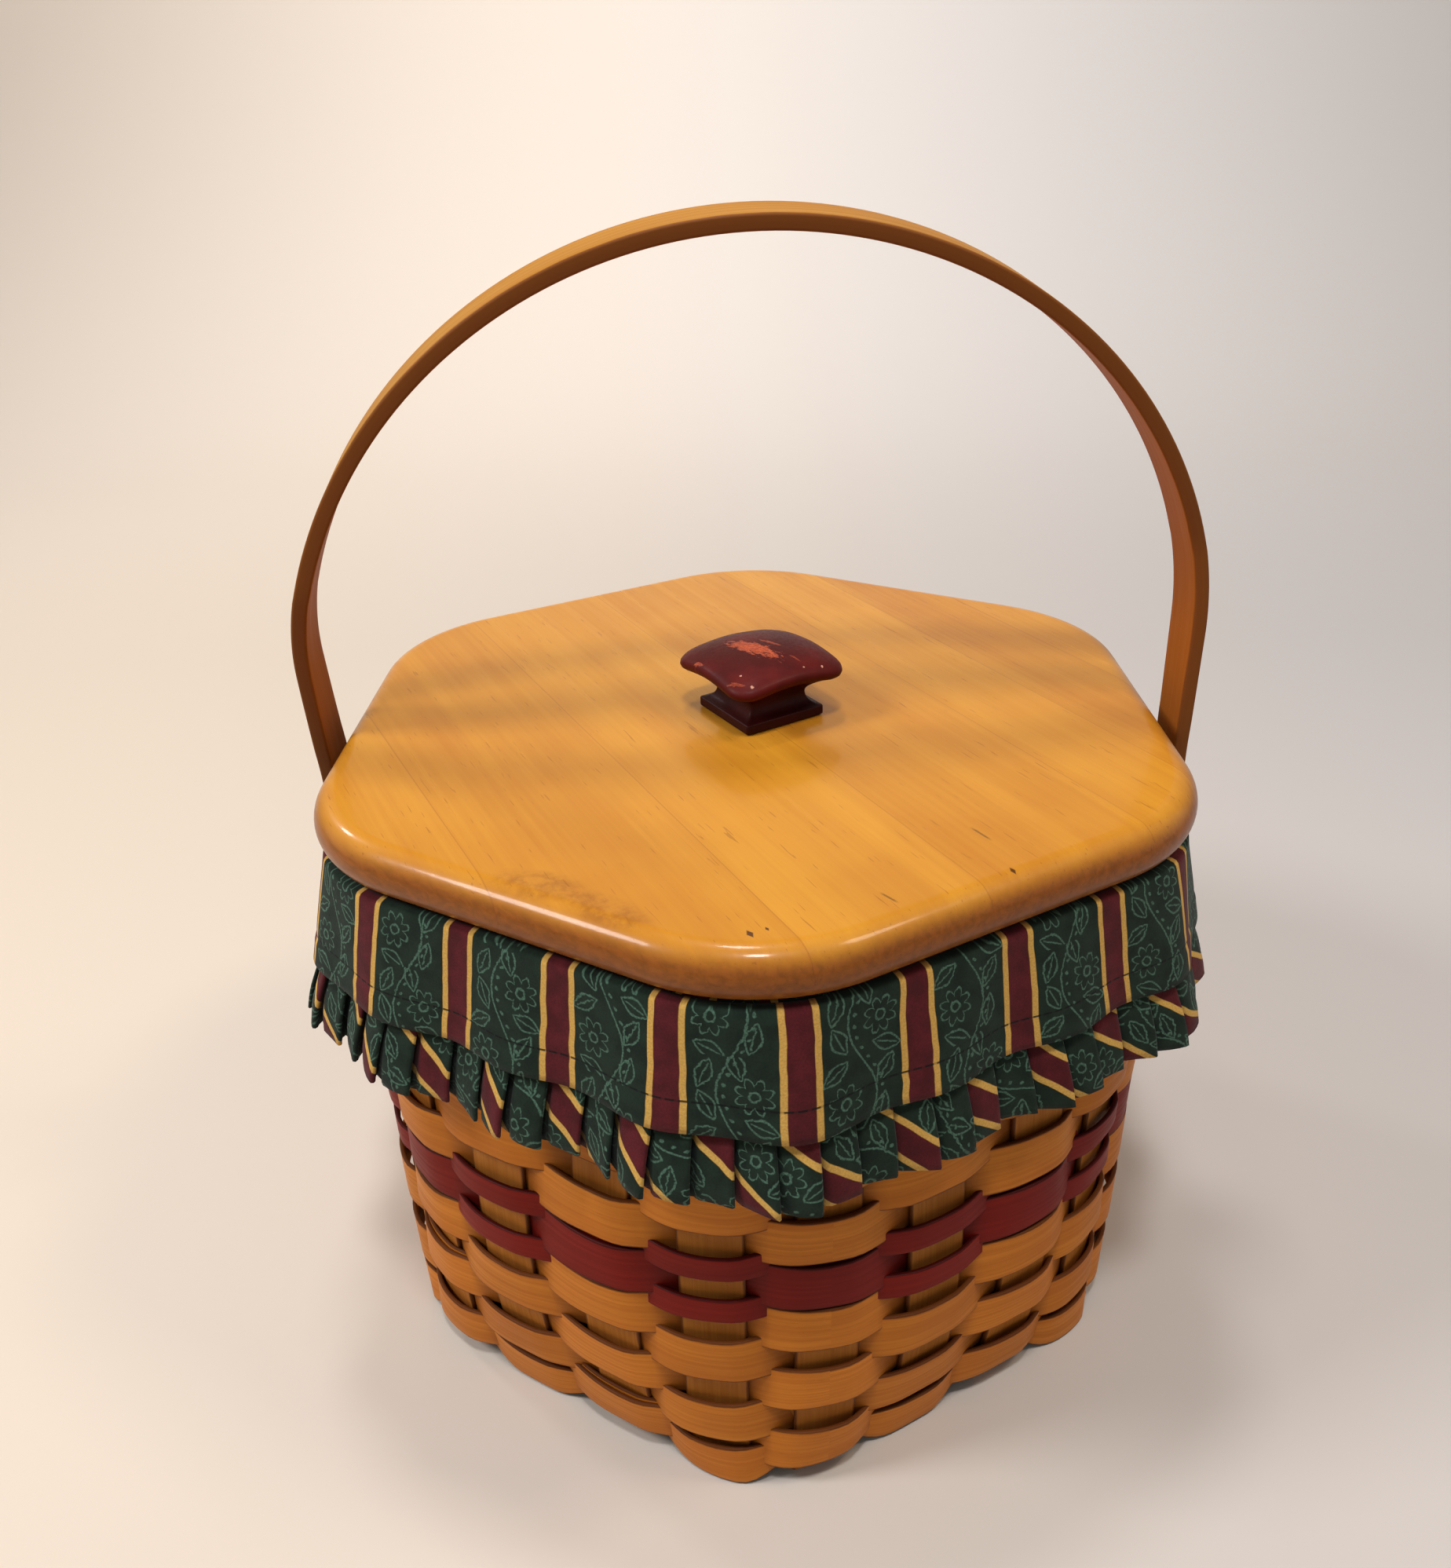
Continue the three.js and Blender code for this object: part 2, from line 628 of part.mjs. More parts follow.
// The two faces of a cloth whose middle follows a level line.
function thickened(line) {
  const inner = [];
  const outer = [];
  const up = new THREE.Vector3(0, 0, 1);
  line.forEach((point, i) => {
    const into = point.clone().sub(line[Math.max(i - 1, 0)]).normalize();
    const away = line[Math.min(i + 1, line.length - 1)].clone().sub(point).normalize();
    const heading = into.clone().add(away).normalize();
    const mitre = clothThickness / 2 / Math.max(heading.dot(away), heading.dot(into));
    const out = heading.clone().cross(up).multiplyScalar(mitre);
    inner.push(point.clone().sub(out));
    outer.push(point.clone().add(out));
  });
  return { inner, outer };
}

for (const half of ["front", "back"]) {
  piece(`skirt_band_${half}`, skirtBand(half), materials.cloth);
  piece(`ruffle_${half}`, ruffle(half), materials.cloth);
}

// Lid: a glued panel with a full round edge, two cleats that drop inside the rim, a knob and its screw

function lidPanel() {
  const round = lidThickness / 2;
  const levels = [];
  for (let step = -3; step <= 3; step += 1) {
    const angle = step * thirtyDegrees;
    const inset = round * (1 - Math.cos(angle));
    const outline = new HexOutline(lidApothem - inset, lidCorner - inset);
    const z = lidUnderside + round + round * Math.sin(angle);
    levels.push(outline.points(5).map((point) => new THREE.Vector3(point.x, point.y, z)));
  }
  return loft(levels);
}

const lidTop = lidUnderside + lidThickness;
const headFace = lidUnderside + screwSink;
const headTop = headFace + screwHeadHeight;
const screwTip = headFace + screwLength;

// A solid of revolution about the middle of the lid, from its radii and heights.
function turned(profile, sides = 16) {
  const shape = [[0, profile[0][1]], ...profile, [0, profile.at(-1)[1]]];
  const lathe = new THREE.LatheGeometry(shape.map(([radius, z]) => new THREE.Vector2(radius, z)), sides);
  lathe.rotateX(Math.PI / 2);
  lathe.deleteAttribute("uv");
  lathe.deleteAttribute("normal");
  const merged = mergeVertices(lathe, 1e-4);
  const index = [...merged.index.array];
  const kept = [];
  for (let i = 0; i < index.length; i += 3) {
    const [a, b, c] = index.slice(i, i + 3);
    if (a !== b && b !== c && c !== a) kept.push(a, b, c);
  }
  merged.setIndex(kept);
  return facingOut(merged);
}

const screwRadius = screwDiameter / 2;
const screwHeadRadius = screwHeadDiameter / 2;
const screwProfile = [
  [screwHeadRadius, headFace],
  [screwHeadRadius, headFace + screwHeadRim],
  [screwRadius, headTop],
  [screwRadius, screwTip - screwDiameter],
  [screwRadius * 0.2, screwTip],
];
const screwBore = [
  [screwHeadRadius + boreClearance, lidUnderside - screwHeadHeight],
  [screwHeadRadius + boreClearance, headFace + screwHeadRim + boreClearance],
  [screwRadius + boreClearance, headTop + boreClearance],
  [screwRadius + boreClearance, screwTip + boreClearance * 2],
];

const lidBore = turned(screwBore).translate(knobPlace.x, knobPlace.y, 0);
piece("lid_panel", cut(lidPanel(), lidBore), materials.lid, lidGroup);

// A cleat is as long as the liner leaves room for at its outer edge.
const cleatReach = rimApothem + linerInner - cleatFit;
const cleatEdge = cleatOffset + cleatWidth / 2;
const cleatHalfLength = (cleatReach - cleatEdge * Math.sin(thirtyDegrees)) / Math.cos(thirtyDegrees);
for (const [name, side] of [["lid_cleat_left", -1], ["lid_cleat_right", 1]]) {
  const cleat = new THREE.BoxGeometry(cleatWidth, cleatHalfLength * 2, cleatThickness);
  const mesh = piece(name, cleat, materials.handle, lidGroup);
  mesh.position.set(side * cleatOffset, 0, lidUnderside - rowGap - cleatThickness / 2);
}

// One level of the knob: a square with round corners, whose corners may hang lower than its sides.
function squareLevel(half, corner, z, droop = 0) {
  const steps = 4;
  const list = [];
  for (let i = 0; i < 4; i += 1) {
    for (let step = 0; step <= steps; step += 1) {
      const angle = i * Math.PI / 2 + (step / steps) * Math.PI / 2;
      const centre = new THREE.Vector2(1, 1).rotateAround(new THREE.Vector2(), i * Math.PI / 2);
      const x = centre.x * (half - corner) + Math.cos(angle) * corner;
      const y = centre.y * (half - corner) + Math.sin(angle) * corner;
      const nearCorner = Math.min(Math.abs(x), Math.abs(y)) / half;
      list.push(new THREE.Vector3(x, y, z - droop * nearCorner ** 2));
    }
  }
  return list;
}

function knob() {
  const footTop = lidTop + rowGap + footHeight;
  const foot = lidTop + rowGap;
  const underside = foot + capUnderside;
  const cove = underside - footTop;
  const crown = knobHeight - capUnderside;
  return loft([
    squareLevel(footHalf - footBevel, 1.6, foot),
    squareLevel(footHalf, 2, foot + footBevel),
    squareLevel(footHalf, 2, footTop),
    squareLevel(THREE.MathUtils.lerp(waistHalf, footHalf, 0.45), 1.8, footTop + cove * 0.15),
    squareLevel(waistHalf, 1.5, footTop + cove * 0.5),
    squareLevel(THREE.MathUtils.lerp(waistHalf, capHalf, 0.3), 2.5, footTop + cove * 0.86, capDroop * 0.2),
    squareLevel(capHalf * 0.91, capRound * 0.85, underside + crown * 0.14, capDroop),
    squareLevel(capHalf, capRound, underside + crown * 0.3, capDroop),
    squareLevel(capHalf * 0.975, capRound, underside + crown * 0.44, capDroop),
    squareLevel(capHalf * 0.86, capRound, underside + crown * 0.68, capDroop),
    squareLevel(capHalf * 0.6, capRound * 0.8, underside + crown * 0.9, capDroop * 0.6),
    squareLevel(capHalf * 0.25, capRound * 0.37, underside + crown, 0),
  ]);
}

const knobMesh = piece("knob", cut(knob(), turned(screwBore)), materials.knob, lidGroup);
knobMesh.rotation.z = THREE.MathUtils.degToRad(knobTurn);
knobMesh.position.copy(knobPlace);
piece("knob_screw", turned(screwProfile), materials.steel, lidGroup).position.copy(knobPlace);

export default basket;
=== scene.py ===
import math
import random
from bisect import bisect

import bmesh
import bpy
from mathutils import Matrix, Vector


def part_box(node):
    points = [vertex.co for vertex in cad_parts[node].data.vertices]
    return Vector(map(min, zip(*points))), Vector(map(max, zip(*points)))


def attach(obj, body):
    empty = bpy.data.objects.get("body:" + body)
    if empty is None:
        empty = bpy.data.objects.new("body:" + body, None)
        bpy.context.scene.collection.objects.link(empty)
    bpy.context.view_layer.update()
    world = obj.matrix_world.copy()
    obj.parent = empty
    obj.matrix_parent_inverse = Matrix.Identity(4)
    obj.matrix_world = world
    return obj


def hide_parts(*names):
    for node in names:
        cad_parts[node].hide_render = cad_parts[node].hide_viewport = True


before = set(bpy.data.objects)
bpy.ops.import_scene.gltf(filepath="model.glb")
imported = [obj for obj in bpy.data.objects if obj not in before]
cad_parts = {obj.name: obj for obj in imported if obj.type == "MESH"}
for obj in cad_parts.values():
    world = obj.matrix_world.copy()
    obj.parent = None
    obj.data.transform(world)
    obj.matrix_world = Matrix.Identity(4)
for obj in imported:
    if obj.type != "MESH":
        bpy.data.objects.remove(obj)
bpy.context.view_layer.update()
bpy.context.scene.view_settings.view_transform = "Standard"
print("frame loaded:", len(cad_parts), "nodes")

mm = 0.001  # sizes below are in millimetres, and become metres when a mesh is made


def nodeBox(node):
    low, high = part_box(node)
    return Vector(low) / mm, Vector(high) / mm


def addObject(name, data):
    thing = bpy.data.objects.new(name, data)
    bpy.context.scene.collection.objects.link(thing)
    return thing


# Even steps from one value to another, with both of them
def evenSteps(first, last, steps):
    return [first + (last - first) * k / steps for k in range(steps + 1)]


# Camera, at the photograph's viewpoint

photoCamera = {
    "place": (-1.902, -321.942, 316.909),
    "yaw": -0.017,  # radians, to the right of +Y
    "pitch": 0.487,  # below the horizon
    "roll": -0.030,
    "focalPixels": 1661.5,  # in the 1848 x 1997 frame
    "longSidePixels": 1997,
    "sensor": 36.0,
}


def addCamera(spec):
    yaw, pitch, roll = spec["yaw"], spec["pitch"], spec["roll"]
    forward = Vector((math.sin(yaw) * math.cos(pitch), math.cos(yaw) * math.cos(pitch), -math.sin(pitch)))
    level = Vector((math.cos(yaw), -math.sin(yaw), 0))
    up = level.cross(forward)
    right = level * math.cos(roll) + up * math.sin(roll)
    up = right.cross(forward)
    data = bpy.data.cameras.new("photoCamera")
    data.sensor_width = spec["sensor"]
    data.lens = spec["focalPixels"] / spec["longSidePixels"] * spec["sensor"]
    data.clip_start = 0.01
    eye = addObject("photoCamera", data)
    turn = Matrix((right, up, -forward)).transposed().to_4x4()
    eye.matrix_world = Matrix.Translation(Vector(spec["place"]) * mm) @ turn
    bpy.context.scene.camera = eye


addCamera(photoCamera)


# Mesh helpers


def addPiece(name, mesh, body, material, replaces=(), eased=False):
    piece = addObject(name, mesh)
    mesh.materials.append(material)
    if eased:
        # keeps the flat faces beside its eased edges looking flat
        piece.modifiers.new("evenNormals", "WEIGHTED_NORMAL").weight = 80
    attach(piece, body)
    if replaces:
        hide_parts(*replaces)
    return piece


# Skins rows of points, one row for each station, and lays three sets of coordinates on the faces:
# "lay" holds millimetres along and across, "edge" the nearness to an edge and the piece's own tone,
# "paintedShade" the painted shade, as deep as a station lies in the shade of what crosses over it.
def skin(name, rings, alongs, across=None, edges=None, tone=0.5, loop=False, tube=True, paintedShade=None):
    count = len(rings[0])
    across = across or [0.0] * count
    edges = edges or [0.0] * count
    paintedShade = paintedShade or [0.0] * len(rings)
    faces, lays, marks, hidden = [], [], [], []
    for i in range(len(rings) if loop else len(rings) - 1):
        here, there = i * count, (i + 1) % len(rings) * count
        for j in range(count if tube else count - 1):
            k = (j + 1) % count
            faces.append((here + j, here + k, there + k, there + j))
            for step, point in ((0, j), (0, k), (1, k), (1, j)):
                lays.append((alongs[i + step], across[point]))
                marks.append((edges[point], tone))
                hidden.append((paintedShade[(i + step) % len(rings)], 0.0))
    if tube and not loop:
        for i, order in ((0, range(count - 1, -1, -1)), (len(rings) - 1, range(count))):
            faces.append(tuple(i * count + j for j in order))
            lays.extend((alongs[i], across[j]) for j in order)
            marks.extend((1.0, tone) for j in order)
            hidden.extend((0.0, 0.0) for j in order)
    mesh = bpy.data.meshes.new(name)
    mesh.from_pydata([point * mm for ring in rings for point in ring], [], faces)
    for layer, values in (("lay", lays), ("edge", marks), ("paintedShade", hidden)):
        uv = mesh.uv_layers.new(name=layer)
        uv.data.foreach_set("uv", [number for pair in values for number in pair])
    mesh.shade_smooth()
    if tube:
        turnOut(mesh)
    return mesh


def turnOut(mesh):
    work = bmesh.new()
    work.from_mesh(mesh)
    bmesh.ops.recalc_face_normals(work, faces=work.faces)
    work.to_mesh(mesh)
    work.free()


# The section of a flat strip as (across, out) points, its long edges eased
def stripSection(width, thickness, ease, middles=3):
    w, t = width / 2, thickness / 2
    e = min(ease, thickness * 0.48)
    d = e * 0.29  # the middle of a quarter round
    face = evenSteps(e - w, w - e, middles + 1)
    right = [(w - d, t - d), (w, t - e), (w, e - t), (w - d, d - t)]
    left = [(-a, -o) for a, o in right]
    return [(a, t) for a in face] + right + [(a, -t) for a in reversed(face)] + left


# How far it is along a row of rings to each of them
def walkedLengths(rings, loop=False, start=0.0):
    middles = [sum(ring, Vector((0, 0, 0))) / len(ring) for ring in rings]
    lengths = [start]
    for before, after in zip(middles, middles[1:] + middles[:1] * loop):
        lengths.append(lengths[-1] + (after - before).length)
    return lengths


# Skins a flat strip from its rings, each laid out as the section is
def skinStrip(name, rings, section, tone=0.5, loop=False, start=0.0, across=None, paintedShade=None):
    half = max(a for a, o in section)
    edges = [abs(a) / half for a, o in section]
    across = across or [a for a, o in section]
    return skin(name, rings, walkedLengths(rings, loop, start), across, edges, tone, loop, paintedShade=paintedShade)


# Sweeps a section along stations, each given as (place, across, out)
def sweep(name, stations, section, tone, loop=False, paintedShade=None):
    rings = [[place + across * a + out * o for a, o in section] for place, across, out in stations]
    return skinStrip(name, rings, section, tone, loop, paintedShade=paintedShade)


def smoothStep(x):
    x = min(max(x, 0.0), 1.0)
    return x * x * (3 - 2 * x)


# A hexagon with round corners, walked counter-clockwise from the middle of its front corner
class HexLine:
    def __init__(self, apothem, corner):
        self.apothem = apothem
        self.corner = max(corner, 0.3)  # never quite sharp
        self.flat = 2 * (self.apothem - self.corner) * math.tan(math.pi / 6)
        self.bend = self.corner * math.pi / 3
        self.side = self.flat + self.bend
        self.length = 6 * self.side

    def at(self, along, z, proud=0.0):
        face, fromCorner = divmod(along % self.length, self.side)
        facing = math.pi * (face - 1) / 3
        onFlat = min(max(fromCorner - self.bend / 2, 0), self.flat) - self.flat / 2
        turn = 0.0
        if fromCorner < self.bend / 2:
            turn = fromCorner / self.corner - math.pi / 6
        elif fromCorner > self.bend / 2 + self.flat:
            turn = (fromCorner - self.bend / 2 - self.flat) / self.corner
        out = Vector((math.cos(facing), math.sin(facing)))
        tangent = Vector((-out.y, out.x))
        normal = Vector((math.cos(facing + turn), math.sin(facing + turn)))
        point = out * (self.apothem - self.corner) + tangent * onFlat + normal * (self.corner + proud)
        return Vector((point.x, point.y, z))


# Material helpers


def paint(red, green, blue):
    # a colour as it looks on a screen, 0 to 255, turned into Blender's linear values
    linear = []
    for value in (red, green, blue):
        share = value / 255
        linear.append(share / 12.92 if share <= 0.04045 else ((share + 0.055) / 1.055) ** 2.4)
    return (*linear, 1.0)


# Wires one material. Each call adds a node and returns the socket that the next call takes.
class Recipe:
    def __init__(self, name):
        self.material = bpy.data.materials.new(name)
        self.material.use_nodes = True
        self.tree = self.material.node_tree
        self.tree.nodes.clear()

    def add(self, kind, inputs=(), **settings):
        node = self.tree.nodes.new(kind)
        for key, value in settings.items():
            setattr(node, key, value)
        for key, value in dict(inputs).items():
            if isinstance(value, bpy.types.NodeSocket):
                self.tree.links.new(value, node.inputs[key])
            else:
                node.inputs[key].default_value = value
        return node

    def calc(self, operation, *values):
        return self.add("ShaderNodeMath", enumerate(values), operation=operation).outputs[0]

    def times(self, a, b):
        return self.calc("MULTIPLY", a, b)

    def timesPlus(self, a, b, c):
        return self.calc("MULTIPLY_ADD", a, b, c)

    def plus(self, a, b):
        return self.calc("ADD", a, b)

    def minus(self, a, b):
        return self.calc("SUBTRACT", a, b)

    def larger(self, a, b):
        return self.calc("MAXIMUM", a, b)

    def size(self, a):
        return self.calc("ABSOLUTE", a)

    def squares(self, a, b):
        return self.timesPlus(a, a, self.times(b, b))

    def wrap(self, value, half):
        # from -half to half, over and over
        return self.calc("WRAP", value, half, -half)

    def ramp(self, value, low, high, start=0.0, end=1.0):
        inputs = {"Value": value, "From Min": low, "From Max": high, "To Min": start, "To Max": end}
        node = self.add("ShaderNodeMapRange", inputs, interpolation_type="SMOOTHSTEP", clamp=True)
        return node.outputs[0]

    def uv(self, layer):
        node = self.add("ShaderNodeUVMap", uv_map=layer)
        parts = self.add("ShaderNodeSeparateXYZ", {0: node.outputs[0]})
        return parts.outputs[0], parts.outputs[1]

    def place(self):
        # the point in the part's own frame, in millimetres
        node = self.add("ShaderNodeTexCoord")
        scaled = self.add("ShaderNodeVectorMath", {0: node.outputs["Object"]}, operation="SCALE")
        scaled.inputs["Scale"].default_value = 1 / mm
        parts = self.add("ShaderNodeSeparateXYZ", {0: scaled.outputs[0]})
        return tuple(parts.outputs)

    def turned(self, x, y, degrees, cx=0.0, cy=0.0):
        # the distances along and across a direction, from a point
        cos, sin = math.cos(math.radians(degrees)), math.sin(math.radians(degrees))
        dx, dy = self.minus(x, cx), self.minus(y, cy)
        along = self.plus(self.times(dx, cos), self.times(dy, sin))
        return along, self.minus(self.times(dy, cos), self.times(dx, sin))

    def oval(self, x, y, spec):
        # along and across an oval patch, and how far out a point is, 1 on its edge
        u, v = self.turned(x, y, spec["along"], *spec["place"])
        far = self.squares(self.calc("DIVIDE", u, spec["length"]), self.calc("DIVIDE", v, spec["width"]))
        return u, v, far

    def vector(self, x, y, z=0.0):
        return self.add("ShaderNodeCombineXYZ", {0: x, 1: y, 2: z}).outputs[0]

    def noise(self, vector, scale=1.0, detail=2.0, roughness=0.5, distortion=0.0):
        inputs = {"Vector": vector, "Scale": scale, "Detail": detail, "Roughness": roughness,
                  "Distortion": distortion}
        return self.add("ShaderNodeTexNoise", inputs).outputs[0]

    def grain(self, parts, scales, detail=2.0, roughness=0.5, distortion=0.0, third=0.0):
        # noise that is stretched by its own scale along each part
        scaled = [self.times(part, scale) for part, scale in zip(parts, scales)] + [third]
        return self.noise(self.vector(*scaled[:3]), 1.0, detail, roughness, distortion)

    def blend(self, factor, a, b, mode="MIX"):
        # a and b are sockets, or colours as they look on a screen
        a, b = (paint(*value) if isinstance(value, tuple) else value for value in (a, b))
        inputs = {0: factor, 6: a, 7: b}
        return self.add("ShaderNodeMix", inputs, data_type="RGBA", blend_type=mode).outputs[2]

    def tint(self, base, colour, value, low, high, amount):
        # lays a colour on where a value rises from low to high
        return self.blend(self.ramp(value, low, high, 0.0, amount), base, colour)

    def dim(self, colour, level):
        grey = self.add("ShaderNodeCombineColor", {0: level, 1: level, 2: level}).outputs[0]
        return self.blend(1.0, colour, grey, "MULTIPLY")

    def bump(self, height, distance, strength=1.0, normal=None):
        inputs = {"Height": height, "Distance": distance * mm, "Strength": strength}
        if normal is not None:
            inputs["Normal"] = normal
        return self.add("ShaderNodeBump", inputs).outputs[0]

    def finish(self, colour, roughness, normal=None, **fixed):
        inputs = {"Base Color": colour, "Roughness": roughness}
        if normal is not None:
            inputs["Normal"] = normal
        shader = self.add("ShaderNodeBsdfPrincipled", inputs)
        for key, value in fixed.items():
            shader.inputs[key.replace("_", " ")].default_value = value
        self.add("ShaderNodeOutputMaterial", {"Surface": shader.outputs[0]})
        return self.material


# Woods. Each strip is stained and lacquered: the stain gathers in the grain and along the edges, and on the
# handle the edges and under face also carry painted shade.
# "run" and "grain" are how finely the streaks lie along and across a strip.

woods = {
    "splint": {
        "pale": (176, 112, 46), "deep": (152, 90, 34), "fleck": (96, 50, 20), "edge": (84, 44, 18),
        "grain": 1.3, "run": 0.020, "roughness": (0.42, 0.55),
    },
    "weaver": {
        "pale": (206, 128, 42), "deep": (174, 98, 31), "fleck": (100, 52, 20), "edge": (80, 40, 16),
        "grain": 1.0, "run": 0.016, "roughness": (0.40, 0.52),
    },
    "redWeaver": {
        "pale": (128, 25, 15), "deep": (104, 18, 11), "fleck": (60, 11, 8), "edge": (56, 10, 8),
        "grain": 1.0, "run": 0.016, "roughness": (0.40, 0.52),
    },
    # on the handle, the dark edge colour on the side faces is stain and also painted shade
    "handle": {
        "pale": (171, 119, 36), "deep": (151, 97, 26), "fleck": (114, 66, 22), "edge": (110, 60, 24),
        "under": (150, 78, 26), "underFrom": 24.0,  # painted shade: past this across, the under face takes the darker under colour
        "grain": 0.9, "run": 0.012, "roughness": (0.45, 0.6),
    },
    "cleat": {"pale": (216, 160, 92), "deep": (190, 130, 66), "fleck": (130, 82, 40)},
}


def stripWood(name, spec):
    r = Recipe(name)
    along, across = r.uv("lay")
    edge, tone = r.uv("edge")
    seed = r.times(tone, 90.0)

    def strands(run, fine, detail, rough=0.55):
        return r.grain((along, across), (run, fine), detail, rough, third=seed)

    streaks = strands(spec["run"], spec["grain"], 4.0, 0.6)
    broad = strands(0.018, 0.09, 2.0)
    flecks = strands(0.16, 3.6, 2.0)
    pores = strands(0.45, 6.0, 1.0)
    wander = strands(0.12, 0.9, 3.0)
    base = r.blend(r.ramp(streaks, 0.3, 0.72, 0.2, 0.8), spec["deep"], spec["pale"])
    base = r.tint(base, spec["deep"], broad, 0.36, 0.7, 0.6)
    base = r.dim(base, r.timesPlus(tone, 0.36, 0.82))
    # painted shade: the handle's under face is coloured darker
    if "under" in spec:
        under = r.calc("GREATER_THAN", across, spec["underFrom"])
        base = r.blend(r.times(under, 0.8), base, spec["under"])
    base = r.tint(base, spec["fleck"], flecks, 0.66, 0.8, 0.35)
    base = r.tint(base, spec["fleck"], pores, 0.64, 0.8, 0.25)
    # stain along the edges; on the handle's side faces it is also painted shade
    base = r.tint(base, spec["edge"], r.timesPlus(wander, 0.09, edge), 0.93, 1.02, 0.95)
    # painted shade: a strip darkens towards the fleck colour where it lies in the shade of a crossing strip
    base = r.blend(r.times(r.uv("paintedShade")[0], 0.7), base, spec["fleck"])
    low, high = spec["roughness"]
    gloss = r.ramp(streaks, 0.3, 0.75, high, low)
    normal = r.bump(r.minus(streaks, r.times(flecks, 0.5)), 0.05, 0.4)
    return r.finish(base, gloss, normal, Specular_IOR_Level=0.08, Coat_Weight=0.02, Coat_Roughness=0.3)


splintWood = stripWood("splintWood", woods["splint"])
weaverWood = stripWood("weaverWood", woods["weaver"])
redWood = stripWood("redWood", woods["redWeaver"])
handleWood = stripWood("handleWood", woods["handle"])


# Wood of the plain solids that stay, with the grain along the bands or along the cleats
def solidWood(name, spec, ringed):
    r = Recipe(name)
    x, y, z = r.place()
    along = r.times(r.calc("ARCTAN2", y, x), 100.0) if ringed else y
    across = z if ringed else r.plus(x, r.times(z, 0.7))
    streaks = r.grain((along, across), (0.025, 1.4), 4.0, 0.6)
    flecks = r.grain((along, across), (0.2, 3.0))
    base = r.blend(r.ramp(streaks, 0.3, 0.7), spec["deep"], spec["pale"])
    base = r.tint(base, spec["fleck"], flecks, 0.66, 0.8, 0.5)
    return r.finish(base, r.ramp(streaks, 0.3, 0.75, 0.5, 0.36), r.bump(streaks, 0.08, 0.5))


def dressSolids(nodes, material):
    for node in nodes:
        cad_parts[node].data.materials.clear()
        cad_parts[node].data.materials.append(material)


dressSolids(("rim_band_inner", "rim_band_outer"), solidWood("bandWood", woods["splint"], ringed=True))
dressSolids(("lid_cleat_left", "lid_cleat_right"), solidWood("cleatWood", woods["cleat"], ringed=False))

# The lid is glued up from boards; every seam is a distance from the middle, square to the grain
lidBoards = {
    "grain": -62.0,  # degrees from +X
    "seams": (-92.0, -45.0, -2.0, 44.5, 70.0, 96.0),
    "tones": (0.56, 0.44, 0.68, 0.52, 0.6, 0.28, 0.5),  # board by board, 0 the deepest
    "pale": (198, 139, 41), "deep": (168, 104, 27), "fleck": (122, 66, 22), "mark": (58, 30, 16),
    "edge": (132, 68, 23), "edgeDeep": (106, 51, 17),
    "edgeFrom": 0.15, "edgeTo": 4.5,  # below the top, the span over which the edge darkens
    "blotches": (
        {"place": (-46, -89), "along": -20.0, "length": 12.0, "width": 5.5},
        {"place": (-31, -99), "along": -35.0, "length": 13.0, "width": 5.0},
    ),
    "marks": ((-1.6, -109.0, 0.75), (1.8, -107.4, 0.4), (54.1, -87.4, 0.6)),  # place, half width
    "scores": ((50.0, -72.0, -58.0, 4.0), (27.0, -97.0, -50.0, 3.0)),  # place, direction, half length
}


